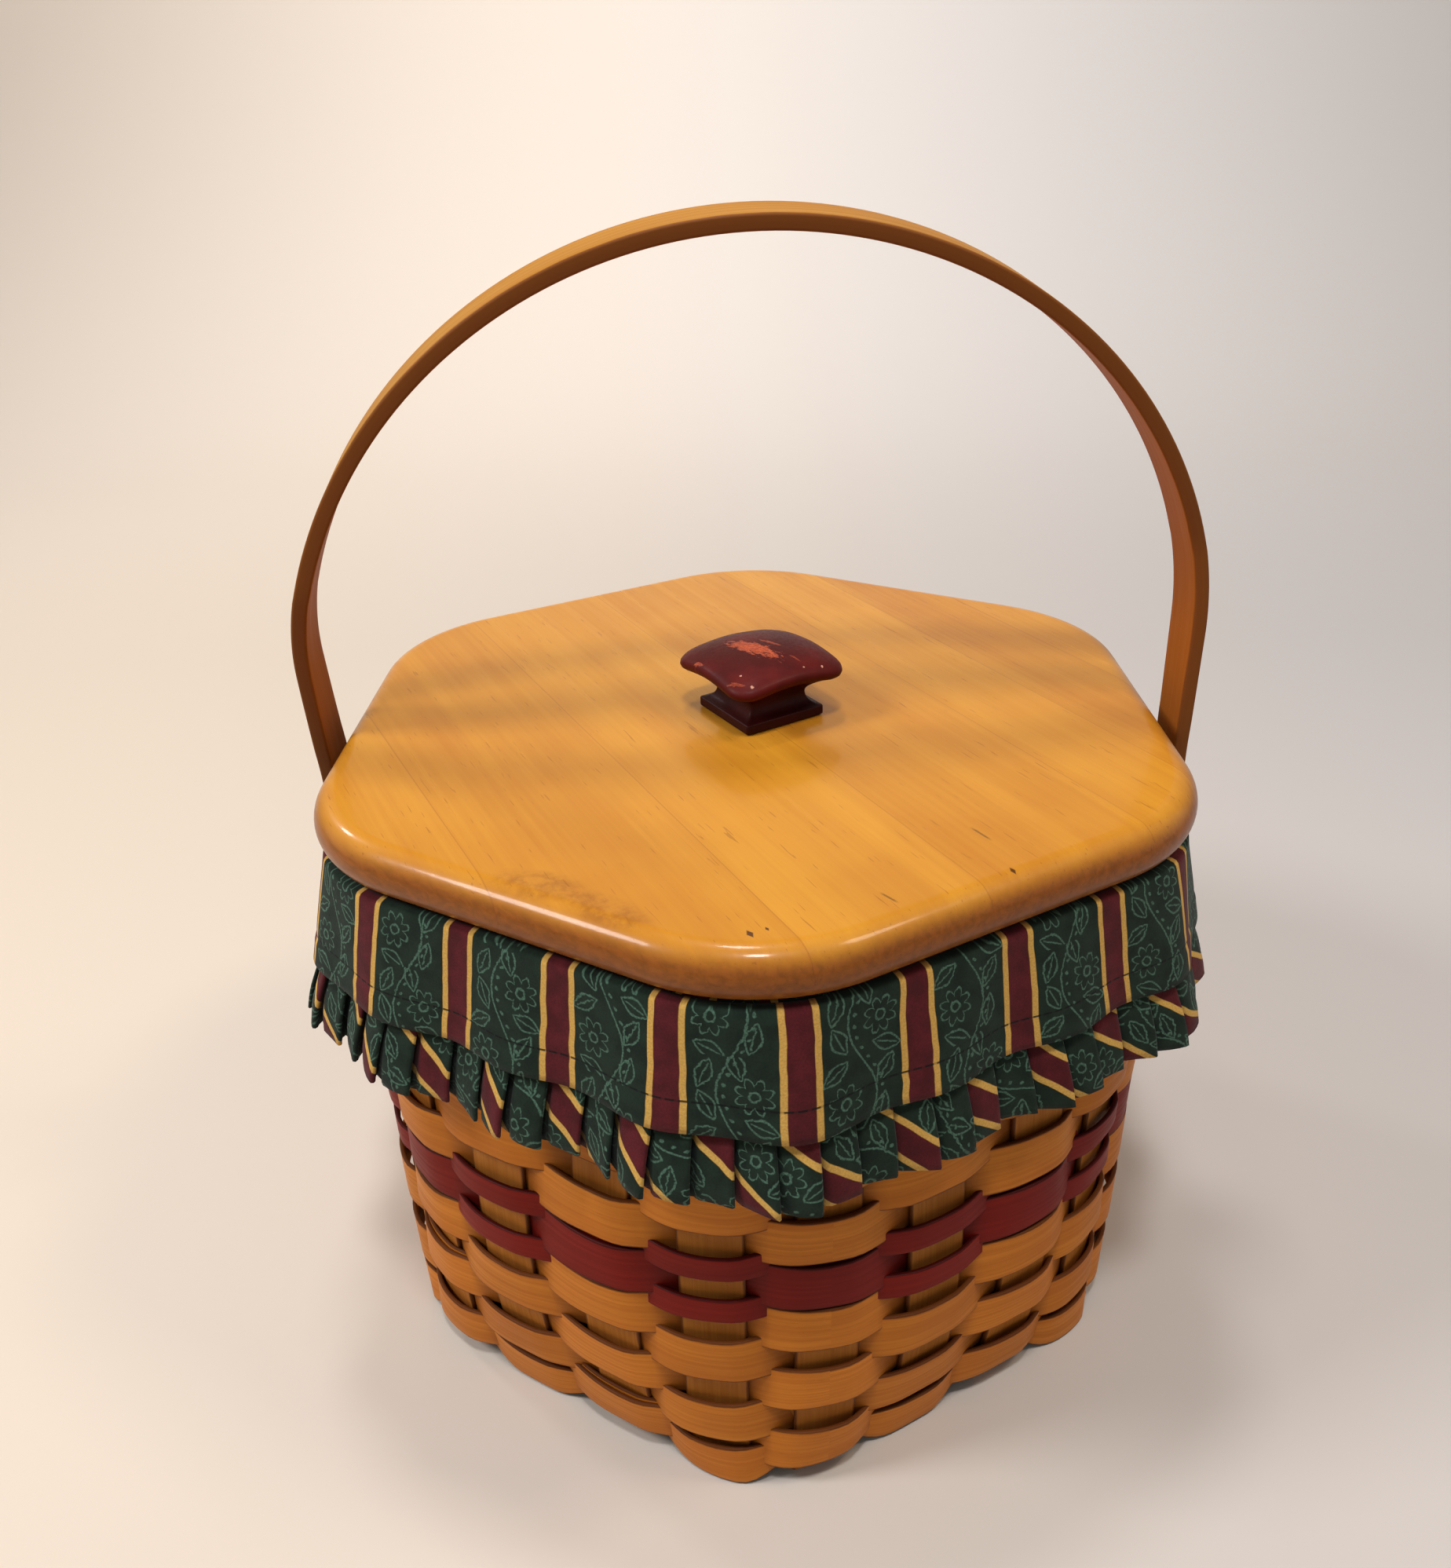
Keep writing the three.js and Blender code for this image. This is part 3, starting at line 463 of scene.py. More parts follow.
def lidBoard(name, spec):
    r = Recipe(name)
    x, y, z = r.place()
    along, across = r.turned(x, y, spec["grain"])
    tone = spec["tones"][0]
    seamLine = 0.0
    for seam, before, after in zip(spec["seams"], spec["tones"], spec["tones"][1:]):
        past = r.calc("GREATER_THAN", across, seam)
        tone = r.timesPlus(past, after - before, tone)
        near = r.size(r.minus(across, seam))
        seamLine = r.larger(seamLine, r.ramp(near, 0.08, 0.22, 1.0, 0.0))
    shift = r.times(tone, 61.0)  # no two boards have the same grain

    def grain(run, fine, detail, distort=0.0):
        third = r.timesPlus(z, fine, shift)
        return r.grain((along, across), (run, fine), detail, 0.55, distort, third)

    broad = grain(0.006, 0.07, 3.0, 0.6)
    streaks = grain(0.012, 0.55, 4.0)
    fine = grain(0.05, 2.4, 2.0)
    flecks = grain(0.11, 1.5, 1.0)
    shimmer = grain(0.03, 0.03, 2.0)
    level = r.timesPlus(tone, 0.7, r.ramp(streaks, 0.3, 0.7, 0.0, 0.16))
    level = r.plus(level, r.ramp(broad, 0.35, 0.7, -0.10, 0.14))
    level = r.plus(level, r.ramp(shimmer, 0.35, 0.65, -0.06, 0.1))
    base = r.blend(level, spec["deep"], spec["pale"])
    base = r.tint(base, spec["deep"], fine, 0.5, 0.76, 0.14)
    base = r.tint(base, spec["fleck"], flecks, 0.7, 0.745, 0.42)
    base = r.blend(r.times(seamLine, 0.3), base, spec["fleck"])
    below = r.minus(nodeBox("lid_panel")[1].z, z)
    endGrain = grain(0.035, 0.6, 3.0, 0.4)
    edgeWood = r.blend(r.ramp(endGrain, 0.3, 0.7), spec["edgeDeep"], spec["edge"])
    base = r.tint(base, edgeWood, below, spec["edgeFrom"], spec["edgeTo"], 0.85)
    cloud = r.grain((x, y), (0.22, 0.22), 5.0, 0.7)
    for blotch in spec["blotches"]:
        far = r.oval(x, y, blotch)[2]
        stain = r.times(r.ramp(far, 0.1, 1.2, 1.0, 0.0), r.ramp(cloud, 0.36, 0.66, 0.1, 0.55))
        base = r.blend(stain, base, spec["fleck"])
    dark = 0.0
    for cx, cy, half in spec["marks"]:
        u, v = r.turned(x, y, spec["grain"], cx, cy)
        reach = r.plus(r.times(r.size(u), 0.5), r.size(v))
        dark = r.larger(dark, r.ramp(reach, half * 0.7, half * 1.2, 0.9, 0.0))
    for cx, cy, degrees, half in spec["scores"]:
        u, v = r.turned(x, y, degrees, cx, cy)
        tall = r.ramp(r.size(u), half * 0.4, half, 1.0, 0.0)
        thin = r.ramp(r.size(v), 0.1, 0.45, 0.6, 0.0)
        dark = r.larger(dark, r.times(tall, thin))
    base = r.blend(dark, base, spec["mark"])
    gloss = r.ramp(streaks, 0.3, 0.75, 0.36, 0.27)
    normal = r.bump(r.plus(streaks, r.times(fine, 0.5)), 0.03, 0.4)
    normal = r.bump(r.grain((x, y), (0.05, 0.05)), 0.3, 0.2, normal)
    return r.finish(base, gloss, normal, Specular_IOR_Level=0.12, Coat_Weight=0.2, Coat_Roughness=0.1)


lidWood = lidBoard("lidWood", lidBoards)

# Knob: dark red paint, rubbed through to the wood on top and along some edges
knobColours = {
    "paint": (86, 16, 12), "deep": (64, 10, 8), "low": (26, 5, 4),  # low: painted shade on the foot and waist under the cap
    "wood": (182, 84, 48), "woodDeep": (138, 56, 36), "speck": (206, 150, 128),
    "capFrom": 9.0, "capTo": 7.5,  # below the top, where the cap's paint gives way to the low painted shade
    "rubbed": (
        {"place": (0.9, -6.9), "along": -40.0, "length": 11.0, "width": 3.6, "amount": 0.95},
        {"place": (5.4, -3.6), "along": -38.0, "length": 4.5, "width": 0.8, "amount": 0.7},
        {"place": (-3.6, -22.0), "along": -22.0, "length": 3.0, "width": 0.8, "amount": 0.5},
        {"place": (-13.4, -9.0), "along": -52.0, "length": 2.4, "width": 0.8, "amount": 0.8},
        {"place": (11.4, -11.4), "along": -40.0, "length": 2.0, "width": 0.5, "amount": 0.5},
    ),
    "specks": ((-2.4, -19.4, 0.35), (0.4, -23.2, 0.5), (18.4, -12.4, 0.4), (13.6, -14.6, 0.3)),
}


def knobFinish(name, spec):
    r = Recipe(name)
    x, y, z = r.place()
    cloud = r.grain((x, y, z), (0.07,) * 3, 3.0, 0.6)
    fine = r.grain((x, y, z), (1.1,) * 3, 4.0, 0.7)
    base = r.blend(r.ramp(cloud, 0.35, 0.7), spec["deep"], spec["paint"])
    bare = r.blend(r.ramp(fine, 0.4, 0.6), spec["woodDeep"], spec["wood"])

    def ragged(distance):
        return r.timesPlus(fine, 1.2, r.minus(distance, 0.6))

    worn = 0.0
    top = nodeBox("knob")[1].z
    high = r.ramp(z, top - spec["capFrom"], top - spec["capTo"])
    for patch in spec["rubbed"]:
        u, v, far = r.oval(x, y, patch)
        fringe = r.grain((u, v), (0.32, 1.1), 4.0, 0.7)
        far = ragged(r.timesPlus(fringe, 3.4, r.minus(far, 1.7)))
        worn = r.larger(worn, r.ramp(far, 0.35, 0.62, patch["amount"], 0.0))
    worn = r.times(worn, high)
    base = r.blend(worn, base, bare)
    # painted shade: the foot and waist below the cap are darkened to the low colour
    base = r.blend(r.timesPlus(high, -0.6, 0.6), base, spec["low"])
    chipped = 0.0
    for cx, cy, size in spec["specks"]:
        reach = ragged(r.calc("SQRT", r.squares(r.minus(x, cx), r.minus(y, cy))))
        chipped = r.larger(chipped, r.ramp(reach, size * 0.6, size, 0.8, 0.0))
    base = r.blend(r.times(chipped, high), base, spec["speck"])
    edge = r.add("ShaderNodeNewGeometry").outputs["Pointiness"]
    thin = r.times(r.ramp(edge, 0.56, 0.66), r.ramp(fine, 0.5, 0.66, 0.0, 0.4))
    base = r.blend(thin, base, bare)
    gloss = r.ramp(fine, 0.35, 0.7, 0.46, 0.6)
    normal = r.bump(r.minus(r.times(fine, 0.5), r.times(worn, 1.4)), 0.1, 0.6)
    return r.finish(base, gloss, normal, Specular_IOR_Level=0.1, Coat_Weight=0.04, Coat_Roughness=0.3)


knobPaint = knobFinish("knobPaint", knobColours)

# The tacks and the knob's screw
steelColours = {"steel": (176, 170, 160), "dull": (120, 106, 90)}


def steel(name, spec):
    r = Recipe(name)
    spots = r.grain(r.place(), (1.3,) * 3, 3.0, 0.6)
    base = r.blend(r.ramp(spots, 0.4, 0.7), spec["steel"], spec["dull"])
    return r.finish(base, r.ramp(spots, 0.35, 0.7, 0.3, 0.5), r.bump(spots, 0.05, 0.4), Metallic=1.0)


tackSteel = steel("tackSteel", steelColours)
dressSolids(("knob_screw",), tackSteel)

# Printed cotton: dark green with a drawn vine, stars of petals and leaves between burgundy stripes
fabric = {
    "ground": (19, 30, 24), "groundPale": (28, 42, 33), "line": (74, 104, 88), "shade": (5, 8, 7),
    "stripe": (86, 26, 32), "stripeDeep": (68, 20, 25), "gold": (196, 154, 78), "thread": (9, 12, 10),
    "repeat": 27.7, "stripeHalf": 2.8, "goldHalf": 4.25,
    "tile": 34.0, "step": 12.5,  # how much further down the print starts in each field
    "vineSwing": 3.4, "beadStep": 1.3,
    "petals": ((4.6, -8.5), (-4.4, 8.5)),
    "leaves": (
        (-5.6, -5.6, 62.0), (5.6, 4.0, -58.0), (-4.6, 15.6, 24.0), (4.6, 12.8, 105.0), (-6.0, -12.8, 112.0),
        (6.2, -1.8, 20.0), (-6.6, 1.2, 150.0), (0.9, -15.2, 75.0),
    ),
    "stitchRow": 21.3, "stitchStep": 1.35,  # below the rim, and half of one stitch with its gap
}


# Where the print's lines are, on one field between two stripes
def drawnPrint(r, spec, x, y):
    def drawn(distance, thin=0.2):
        return r.ramp(r.size(distance), thin - 0.1, thin + 0.16, 1.0, 0.0)

    wave = r.calc("SINE", r.times(y, 2 * math.pi / spec["tile"]))
    vine = r.minus(x, r.times(wave, spec["vineSwing"]))
    bead = r.wrap(y, spec["beadStep"])
    beads = r.calc("SQRT", r.squares(r.minus(vine, 1.5), bead))
    lines = r.larger(drawn(vine), r.ramp(beads, 0.3, 0.55, 1.0, 0.0))
    for cx, cy in spec["petals"]:
        px, py = r.minus(x, cx), r.minus(y, cy)
        far = r.calc("SQRT", r.squares(px, py))
        lobes = r.size(r.calc("SINE", r.times(r.calc("ARCTAN2", py, px), 4.0)))
        star = r.minus(far, r.timesPlus(lobes, 1.7, 2.4))
        lines = r.larger(lines, r.larger(drawn(star), drawn(r.minus(far, 1.1))))
    for cx, cy, degrees in spec["leaves"]:
        long, wide = r.turned(x, y, degrees, cx, cy)
        reach = r.size(long)
        swell = r.minus(1.0, r.calc("POWER", r.calc("DIVIDE", reach, 3.6), 1.6))
        rim = r.minus(r.size(wide), r.times(swell, 1.8))
        leaf = r.times(drawn(rim), r.ramp(reach, 3.5, 3.9, 1.0, 0.0))
        vein = r.times(drawn(wide, 0.14), r.ramp(reach, 2.2, 2.8, 1.0, 0.0))
        lines = r.larger(lines, r.larger(leaf, vein))
    return lines


def printedCotton(name, spec, slant=0.0, stitched=False, shift=0.0):
    r = Recipe(name)
    along, down = r.uv("lay")
    u, v = r.turned(along, down, slant)
    u = r.plus(u, shift)
    u = r.timesPlus(r.grain((u, v), (0.03, 0.09)), 1.4, u)
    soft = r.timesPlus(r.noise(r.vector(u, v), 0.9), 0.9, -0.45)
    half, tile = spec["repeat"] / 2, spec["tile"] / 2
    cell = r.calc("FLOOR", r.calc("DIVIDE", u, spec["repeat"]))
    across = r.wrap(u, half)  # 0 on the middle of a stripe
    x = r.plus(r.wrap(r.plus(u, half), half), soft)
    y = r.wrap(r.plus(r.timesPlus(cell, spec["step"], v), soft), tile)
    lines = drawnPrint(r, spec, x, y)
    cloud = r.grain((u, v), (0.2, 0.2), 3.0)
    threads = r.grain((u, v), (2.2, 2.2))
    base = r.blend(r.ramp(cloud, 0.3, 0.7), spec["ground"], spec["groundPale"])
    base = r.blend(r.times(lines, r.ramp(threads, 0.25, 0.6, 0.45, 0.95)), base, spec["line"])

    def stripe(width):
        return r.ramp(r.size(across), width - 0.1, width + 0.15, 1.0, 0.0)

    base = r.blend(stripe(spec["goldHalf"]), base, spec["gold"])
    redCloth = r.blend(r.ramp(cloud, 0.3, 0.7), spec["stripeDeep"], spec["stripe"])
    base = r.blend(stripe(spec["stripeHalf"]), base, redCloth)
    base = r.dim(base, r.ramp(threads, 0.3, 0.7, 0.86, 1.1))
    base = r.blend(r.times(r.uv("paintedShade")[0], 0.75), base, spec["shade"])
    height = threads
    if stitched:
        # a row of stitches holds the hem and the ruffle
        row = r.ramp(r.size(r.minus(down, spec["stitchRow"])), 0.14, 0.36, 1.0, 0.0)
        dash = r.ramp(r.size(r.wrap(along, spec["stitchStep"])), 0.85, 1.05, 1.0, 0.0)
        # the dashes are dark thread; between them the row is darkened less, as painted shade in the groove
        # the stitches draw
        base = r.blend(r.times(row, r.timesPlus(dash, 0.55, 0.35)), base, spec["thread"])
        height = r.timesPlus(r.times(row, dash), 0.8, threads)
    normal = r.bump(height, 0.12, 0.7)
    return r.finish(base, 0.9, normal, Specular_IOR_Level=0.15, Sheen_Weight=0.04, Sheen_Roughness=0.5)


bandCloth = printedCotton("bandCloth", fabric, stitched=True, shift=15.0)
ruffleCloth = printedCotton("ruffleCloth", fabric, slant=-53.0, shift=4.0)
linerCloth = printedCotton("linerCloth", fabric)
print("materials mixed")


# Woven wall. In plan it is a hexagon on the floor, nearly round at the belly and a hexagon at the rim.

wall = {
    "footApothem": 96.5, "footCorner": 28.0,  # to the middle of the wall
    "bellyApothem": 104.5, "bellyCorner": 84.0, "bellyHeight": 62.0,
    "rimApothem": 101.0, "rimCorner": 36.0,
    "rimBottom": nodeBox("rim_band_outer")[0].z,
    "rimTop": nodeBox("rim_band_outer")[1].z,
}
rise = Vector((0, 0, 1))


def wallAt(z):
    low, high = "foot", "belly"
    share = math.sin(math.pi / 2 * z / wall["bellyHeight"])
    if z > wall["bellyHeight"]:
        low, high = "belly", "rim"
        climbed = (z - wall["bellyHeight"]) / (wall["rimBottom"] - wall["bellyHeight"])
        share = (1 - math.cos(math.pi * min(climbed, 1))) / 2
    apothem = wall[low + "Apothem"] + (wall[high + "Apothem"] - wall[low + "Apothem"]) * share
    corner = wall[low + "Corner"] + (wall[high + "Corner"] - wall[low + "Corner"]) * share
    return HexLine(apothem, corner)


# A point of the wall. The turn counts sides of the hexagon from the front corner.
def wallPoint(turn, z, proud=0.0):
    line = wallAt(z)
    return line.at(turn * line.side, z, proud)


weave = {
    "uprightWidth": 16.0,
    "uprightThickness": 1.3,
    "weaverThickness": 1.25,
    "ease": 0.42,
    "widen": -0.5,  # how much wider a weaver is than its plain solid
    "outside": 2.55,  # how far the middle of a weaver stands out over an upright
    "inside": 1.95,  # and behind one
    "uneven": (-0.2, 0.35),  # what is added to that from one upright to the next
    "drift": 0.35,  # how far up or down a weaver wanders
    "lean": 0.06,  # how far a weaver tips its lower edge out between two uprights
    "hold": 5.2,  # half the stretch over an upright where it runs nearly flat
    "loose": 0.4,  # share of its swing that goes on through that stretch
    "hurry": 0.72,  # under 1, a weaver comes out soon after it has passed behind an upright
    "steps": 12,  # stations from one upright to the next
    "floorGap": 0.15, "floorRise": 2.4,  # under the lowest row, and how far it climbs behind an upright
    "floorTuck": 0.55,  # share of its width that the lowest row keeps there
    "turnRadius": 2.5,  # where a base splint turns up
    "shadeFrom": 1.0, "shadeOver": 2.4,  # painted shade: a weaver darkens as it goes in behind an upright
}
splintSets = {
    "splint_right": {"face": 0, "places": (-0.73, -0.22, 0.32, 0.8)},
    "splint_cross": {"face": 1, "places": (-0.77, -0.26, 0.26, 0.77)},
    "splint_left": {"face": 5, "places": (-0.79, -0.26, 0.29, 0.78)},
}
redRows = (6, 7, 8)
rowNodes = sorted(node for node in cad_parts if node.startswith("weaver_"))
draw = random.Random(11)


def uprightTurns():
    turns = []
    for spec in splintSets.values():
        for share in spec["places"]:
            turns.append(spec["face"] + 0.5 + share / 2)
            turns.append((spec["face"] + 3) % 6 + 0.5 - share / 2)
    return sorted(turns)


uprights = uprightTurns()


# The turn of an upright, counted on past the front corner
def uprightAt(i):
    return uprights[i % len(uprights)] + 6 * (i // len(uprights))


# How far a row stands off the middle of the wall at a turn, and how far it is between two uprights
def rowSwing(order, bulges, turn, side):
    count = len(uprights)
    turn = turn % 6
    here = bisect(uprights, turn) - 1
    start, end = uprightAt(here), uprightAt(here + 1)
    sign = -1 if (here + order) % 2 == 0 else 1
    first, last = sign * bulges[here % count], -sign * bulges[(here + 1) % count]
    span, walked = (end - start) * side, (turn - start) * side
    share = min(max((walked - weave["hold"]) / (span - 2 * weave["hold"]), 0), 1) ** weave["hurry"]
    swing = (1 - math.cos(math.pi * share)) / 2
    swing += (smoothStep(walked / span) - swing) * weave["loose"]
    return first + (last - first) * swing, math.sin(math.pi * walked / span) ** 2


# The place on a row, its direction across and its direction out
def rowStation(turn, z, proud, lean=0.0):
    step, climb = 0.004, 2  # a little to either side, for the directions
    ahead = wallPoint(turn + step, z, proud(turn + step))
    heading = (ahead - wallPoint(turn - step, z, proud(turn - step))).normalized()
    slope = wallPoint(turn, z + climb, proud(turn)) - wallPoint(turn, z - climb, proud(turn))
    across = slope.normalized() - heading.cross(rise) * lean
    across = (across - heading * across.dot(heading)).normalized()
    return wallPoint(turn, z, proud(turn)), across, heading.cross(across)


def weaver(order, node):
    low, high = nodeBox(node)
    width = high.z - low.z + weave["widen"]
    middle = (low.z + high.z) / 2
    side = wallAt(middle).side
    count = len(uprights)
    bulges = []
    for i in range(count):
        outside = (i + order) % 2 == 1
        bulges.append(weave["outside"] + draw.uniform(*weave["uneven"]) if outside else weave["inside"])
    drift = [draw.uniform(-weave["drift"], weave["drift"]) for i in range(count)]
    lowest = width / 2 + weave["floorGap"]

    def proud(turn):
        return rowSwing(order, bulges, turn, side)[0]

    stations, paintedShade = [], []
    for i in range(count):
        for share in evenSteps(0, 1, weave["steps"])[:-1]:
            turn = uprights[i] + (uprightAt(i + 1) - uprights[i]) * share
            z = middle + drift[i] + (drift[(i + 1) % count] - drift[i]) * smoothStep(share)
            stand, between = rowSwing(order, bulges, turn, side)
            place, across, out = rowStation(turn, max(z, lowest), proud, weave["lean"] * between)
            if order == 0:
                # the lowest row clears the base splints where it runs inside
                tucked = smoothStep((weave["outside"] - stand) / (weave["outside"] + weave["inside"]))
                squeeze = 1 + (weave["floorTuck"] - 1) * tucked
                place = place + rise * tucked * weave["floorRise"]
                across = across * squeeze
            stations.append((place, across, out))
            # painted shade where the weaver goes in behind an upright
            paintedShade.append(smoothStep((weave["shadeFrom"] - stand) / weave["shadeOver"]))
    section = stripSection(width, weave["weaverThickness"], weave["ease"])
    tone = draw.uniform(0.3, 0.75)
    mesh = sweep(node + "_strip", stations, section, tone, loop=True, paintedShade=paintedShade)
    red = order in redRows
    slot, material = ("weaver_red", redWood) if red else ("weaver_natural", weaverWood)
    addPiece(node + "_strip", mesh, "basket", material, [node], eased=True)
    return {"proud": proud, "middle": middle, "width": width, "slot": slot, "material": material}


rowShapes = [weaver(order, node) for order, node in enumerate(rowNodes)]
print("weavers:", len(rowShapes))


# The rings of a splint from the rim down the wall and round the turn at the floor
def splintEnd(turn, base, top, section):
    radius = weave["turnRadius"]
    turnTop = base + radius

    def onWall(z, a, o):
        return wallPoint(turn + a / wallAt(z).side, z, o)

    wallSteps, turnSteps = 28, 6
    rings = [[onWall(z, a, o) for a, o in section] for z in evenSteps(top, turnTop, wallSteps)]
    outward = onWall(turnTop, 0, 1) - onWall(turnTop, 0, 0)
    for angle in evenSteps(0, math.pi / 2, turnSteps)[1:]:
        ring = []
        for a, o in section:
            point = onWall(turnTop, a, 0) + outward * ((radius + o) * math.cos(angle) - radius)
            ring.append(Vector((point.x, point.y, turnTop - (radius + o) * math.sin(angle))))
        rings.append(ring)
    return rings


# One splint runs from rim to rim, down one wall, under the basket and up the other
def splint(node, face, share):
    low, high = nodeBox(node)
    thick = weave["uprightThickness"]
    base = low.z + thick / 2
    section = stripSection(weave["uprightWidth"], thick, weave["ease"])
    mirrored = [(-a, o) for a, o in section]
    near = splintEnd(face + 0.5 + share / 2, base, high.z, section)
    far = splintEnd(face + 3.5 - share / 2, base, high.z, mirrored)
    baseSteps = 12
    rings = list(near)
    for crossed in evenSteps(0, 1, baseSteps)[1:-1]:
        rings.append([a.lerp(b, crossed) for a, b in zip(near[-1], far[-1])])
    rings += far[::-1]
    start, tone = draw.uniform(0, 400), draw.uniform(0.25, 0.75)
    mesh = skinStrip(node + "_strip", rings, section, tone, start=start)
    addPiece(node + "_strip", mesh, "basket", splintWood, [node], eased=True)


for setName, spec in splintSets.items():
    for i, share in enumerate(spec["places"]):
        splint(f"{setName}_{i + 1}", spec["face"], share)
print("splints woven in")

# A second layer is of thinner strip
underStrip = {
    "thickness": 1.0, "ease": 0.4, "spliceSteps": 24, "backingSteps": 28,
    "narrower": 0.4,  # a splice than its row
    "behind": 1.2, "bottom": 7.0, "belowRim": 1.0,  # the strips that back an upright
}

# Ends of spliced weavers, which lie under the outer layer and show above or below its edge
splices = {
    "spliceRedWide": {"row": 7, "upright": 22, "reach": (-17, 19), "lift": 1.3, "under": 1.3},
    "spliceRedNarrow": {"row": 8, "upright": 2, "reach": (-14, 15), "lift": 1.2, "under": 1.25},
    "spliceLow": {"row": 1, "upright": 22, "reach": (-13, 20), "lift": 1.4, "under": 1.3},
    "spliceLeft": {"row": 3, "upright": 20, "reach": (-16, 15), "lift": 1.1, "under": 1.25},
}


def splice(name, spec):
    row = rowShapes[spec["row"]]
    side = wallAt(row["middle"]).side
    z = row["middle"] + spec["lift"]
    stations = []
    for reach in evenSteps(*spec["reach"], underStrip["spliceSteps"]):
        turn = uprights[spec["upright"]] + reach / side
        stations.append(rowStation(turn, z, lambda t: row["proud"](t) - spec["under"]))
    width = row["width"] - underStrip["narrower"]
    section = stripSection(width, underStrip["thickness"], underStrip["ease"])
    mesh = sweep(name, stations, section, draw.uniform(0.3, 0.6))
    addPiece(name, mesh, "basket", row["material"])


for name, spec in splices.items():
    splice(name, spec)

# Two uprights beside the front corner are doubled: a second splint shows as a thin edge behind each
backing = {
    "backingLeft": {"upright": 23, "shift": 2.3},
    "backingRight": {"upright": 0, "shift": -2.3},
}


def backingStrip(name, spec):
    section = stripSection(weave["uprightWidth"], underStrip["thickness"], underStrip["ease"])
    bottom, top = underStrip["bottom"], wall["rimBottom"] - underStrip["belowRim"]
    rings = []
    for z in evenSteps(bottom, top, underStrip["backingSteps"]):
        side = wallAt(z).side
        turn = uprights[spec["upright"]] + spec["shift"] / side
        rings.append([wallPoint(turn + a / side, z, o - underStrip["behind"]) for a, o in section])
    mesh = skinStrip(name, rings, section, tone=0.2)
    addPiece(name, mesh, "basket", splintWood)


for name, spec in backing.items():
    backingStrip(name, spec)
print("splices laid in")


# Handle: one bent strip, its tails nailed to the outer band

handle = {
    "width": 16.0, "thickness": 3.8, "ease": 0.7,
    "legMiddle": 115.2, "legRise": 44.3, "archRise": 93.0,  # rim to shoulder, shoulder to top
    "blend": 11.0,  # strip that the shoulder bends over, on each side
    "tailMiddle": 107.4, "tailBottom": nodeBox("handle")[0].z,
    "joggleDrop": 3.0, "joggleHeight": 12.0,
    "lean": 4.8, "leanRise": 12.0,  # degrees to the front, and the height it comes in over
    "twist": 6.0, "shift": 2.2, "twistRise": 60.0,
    "underShift": 64.0,  # added to the coordinate across the strip on its under face, which takes painted shade
    "tailSteps": 6, "joggleSteps": 14, "legSteps": 16, "blendSteps": 14, "archSteps": 48,
}


# A smooth curve from its control points
def curve(controls, count):
    line = []
    for step in range(count):
        level = [Vector(point) for point in controls]
        while len(level) > 1:
            level = [a.lerp(b, step / count) for a, b in zip(level, level[1:])]
        line.append(level[0])
    return line


def handleLine():
    leg = handle["legMiddle"]
    tail = handle["tailMiddle"]
    shoulder = wall["rimTop"] + handle["legRise"]
    radius = (leg ** 2 + handle["archRise"] ** 2) / (2 * handle["archRise"])
    centre = shoulder + handle["archRise"] - radius
    stepTop = wall["rimTop"] - handle["joggleDrop"]
    stepBottom = stepTop - handle["joggleHeight"]
    stepMiddle = (stepTop + stepBottom) / 2
    first = math.asin((shoulder - centre) / radius) + handle["blend"] / radius
    blendEnd = (radius * math.cos(first), centre + radius * math.sin(first))
    joggle = [(tail, stepBottom), (tail, stepMiddle), (leg, stepMiddle), (leg, stepTop)]
    blendStart = (leg, shoulder - handle["blend"])
    line = curve([(tail, handle["tailBottom"]), (tail, stepBottom)], handle["tailSteps"])
    line += curve(joggle, handle["joggleSteps"])
    line += curve([(leg, stepTop), blendStart], handle["legSteps"])
    line += curve([blendStart, (leg, shoulder), blendEnd], handle["blendSteps"])
    for angle in evenSteps(first, math.pi / 2, handle["archSteps"]):
        line.append(Vector((radius * math.cos(angle), centre + radius * math.sin(angle))))
    return line + [Vector((-point.x, point.y)) for point in reversed(line[:-1])]


# Above the rim it has been pulled a little to the front, and its arch has twisted and moved
def leant(point):
    foot = wall["rimTop"] - handle["joggleDrop"]
    height = point.z - foot
    leaning = min(max(height / handle["leanRise"], 0), 1)
    twisting = min(max(height / handle["twistRise"], 0), 1)
    moved = Vector((point.x, point.y, height))
    moved.rotate(Matrix.Rotation(math.radians(handle["lean"]) * leaning, 3, "X"))
    moved.rotate(Matrix.Rotation(math.radians(handle["twist"]) * twisting, 3, "Z"))
    return moved + Vector((handle["shift"] * twisting, 0, foot))


def addHandle():
    line = handleLine()
    section = stripSection(handle["width"], handle["thickness"], handle["ease"], middles=5)
    rings = []
    for i, point in enumerate(line):
        heading = (line[min(i + 1, len(line) - 1)] - line[max(i - 1, 0)]).normalized()
        place, out = Vector((point.x, 0, point.y)), Vector((heading.y, 0, -heading.x))
        rings.append([leant(place + Vector((0, a, 0)) + out * o) for a, o in section])
    across = [a if o > 0 else a + handle["underShift"] for a, o in section]
    mesh = skinStrip("handle_strip", rings, section, across=across)
    addPiece("handle_strip", mesh, "basket", handleWood, ["handle"], eased=True)


# A solid of revolution from its profile of (distance along the axis, radius)
def turnedMesh(name, place, axis, profile, sides=20):
    axis = Vector(axis).normalized()
    first = axis.orthogonal().normalized()
    second = axis.cross(first)
    rings = []
    for far, radius in profile:
        ring = []
        for i in range(sides):
            angle = 2 * math.pi * i / sides
            spoke = first * math.cos(angle) + second * math.sin(angle)
            ring.append(Vector(place) + axis * far + spoke * radius)
        rings.append(ring)
    return skin(name, rings, [far for far, radius in profile])


tacks = {
    "places": ((-4.5, 136.5), (4.2, 131.0)),  # y and z, on both tails
    "head": [(-1.5, 0.7), (0.0, 1.9), (0.35, 1.85), (0.8, 1.35), (1.05, 0.6), (1.1, 0.1)],
}


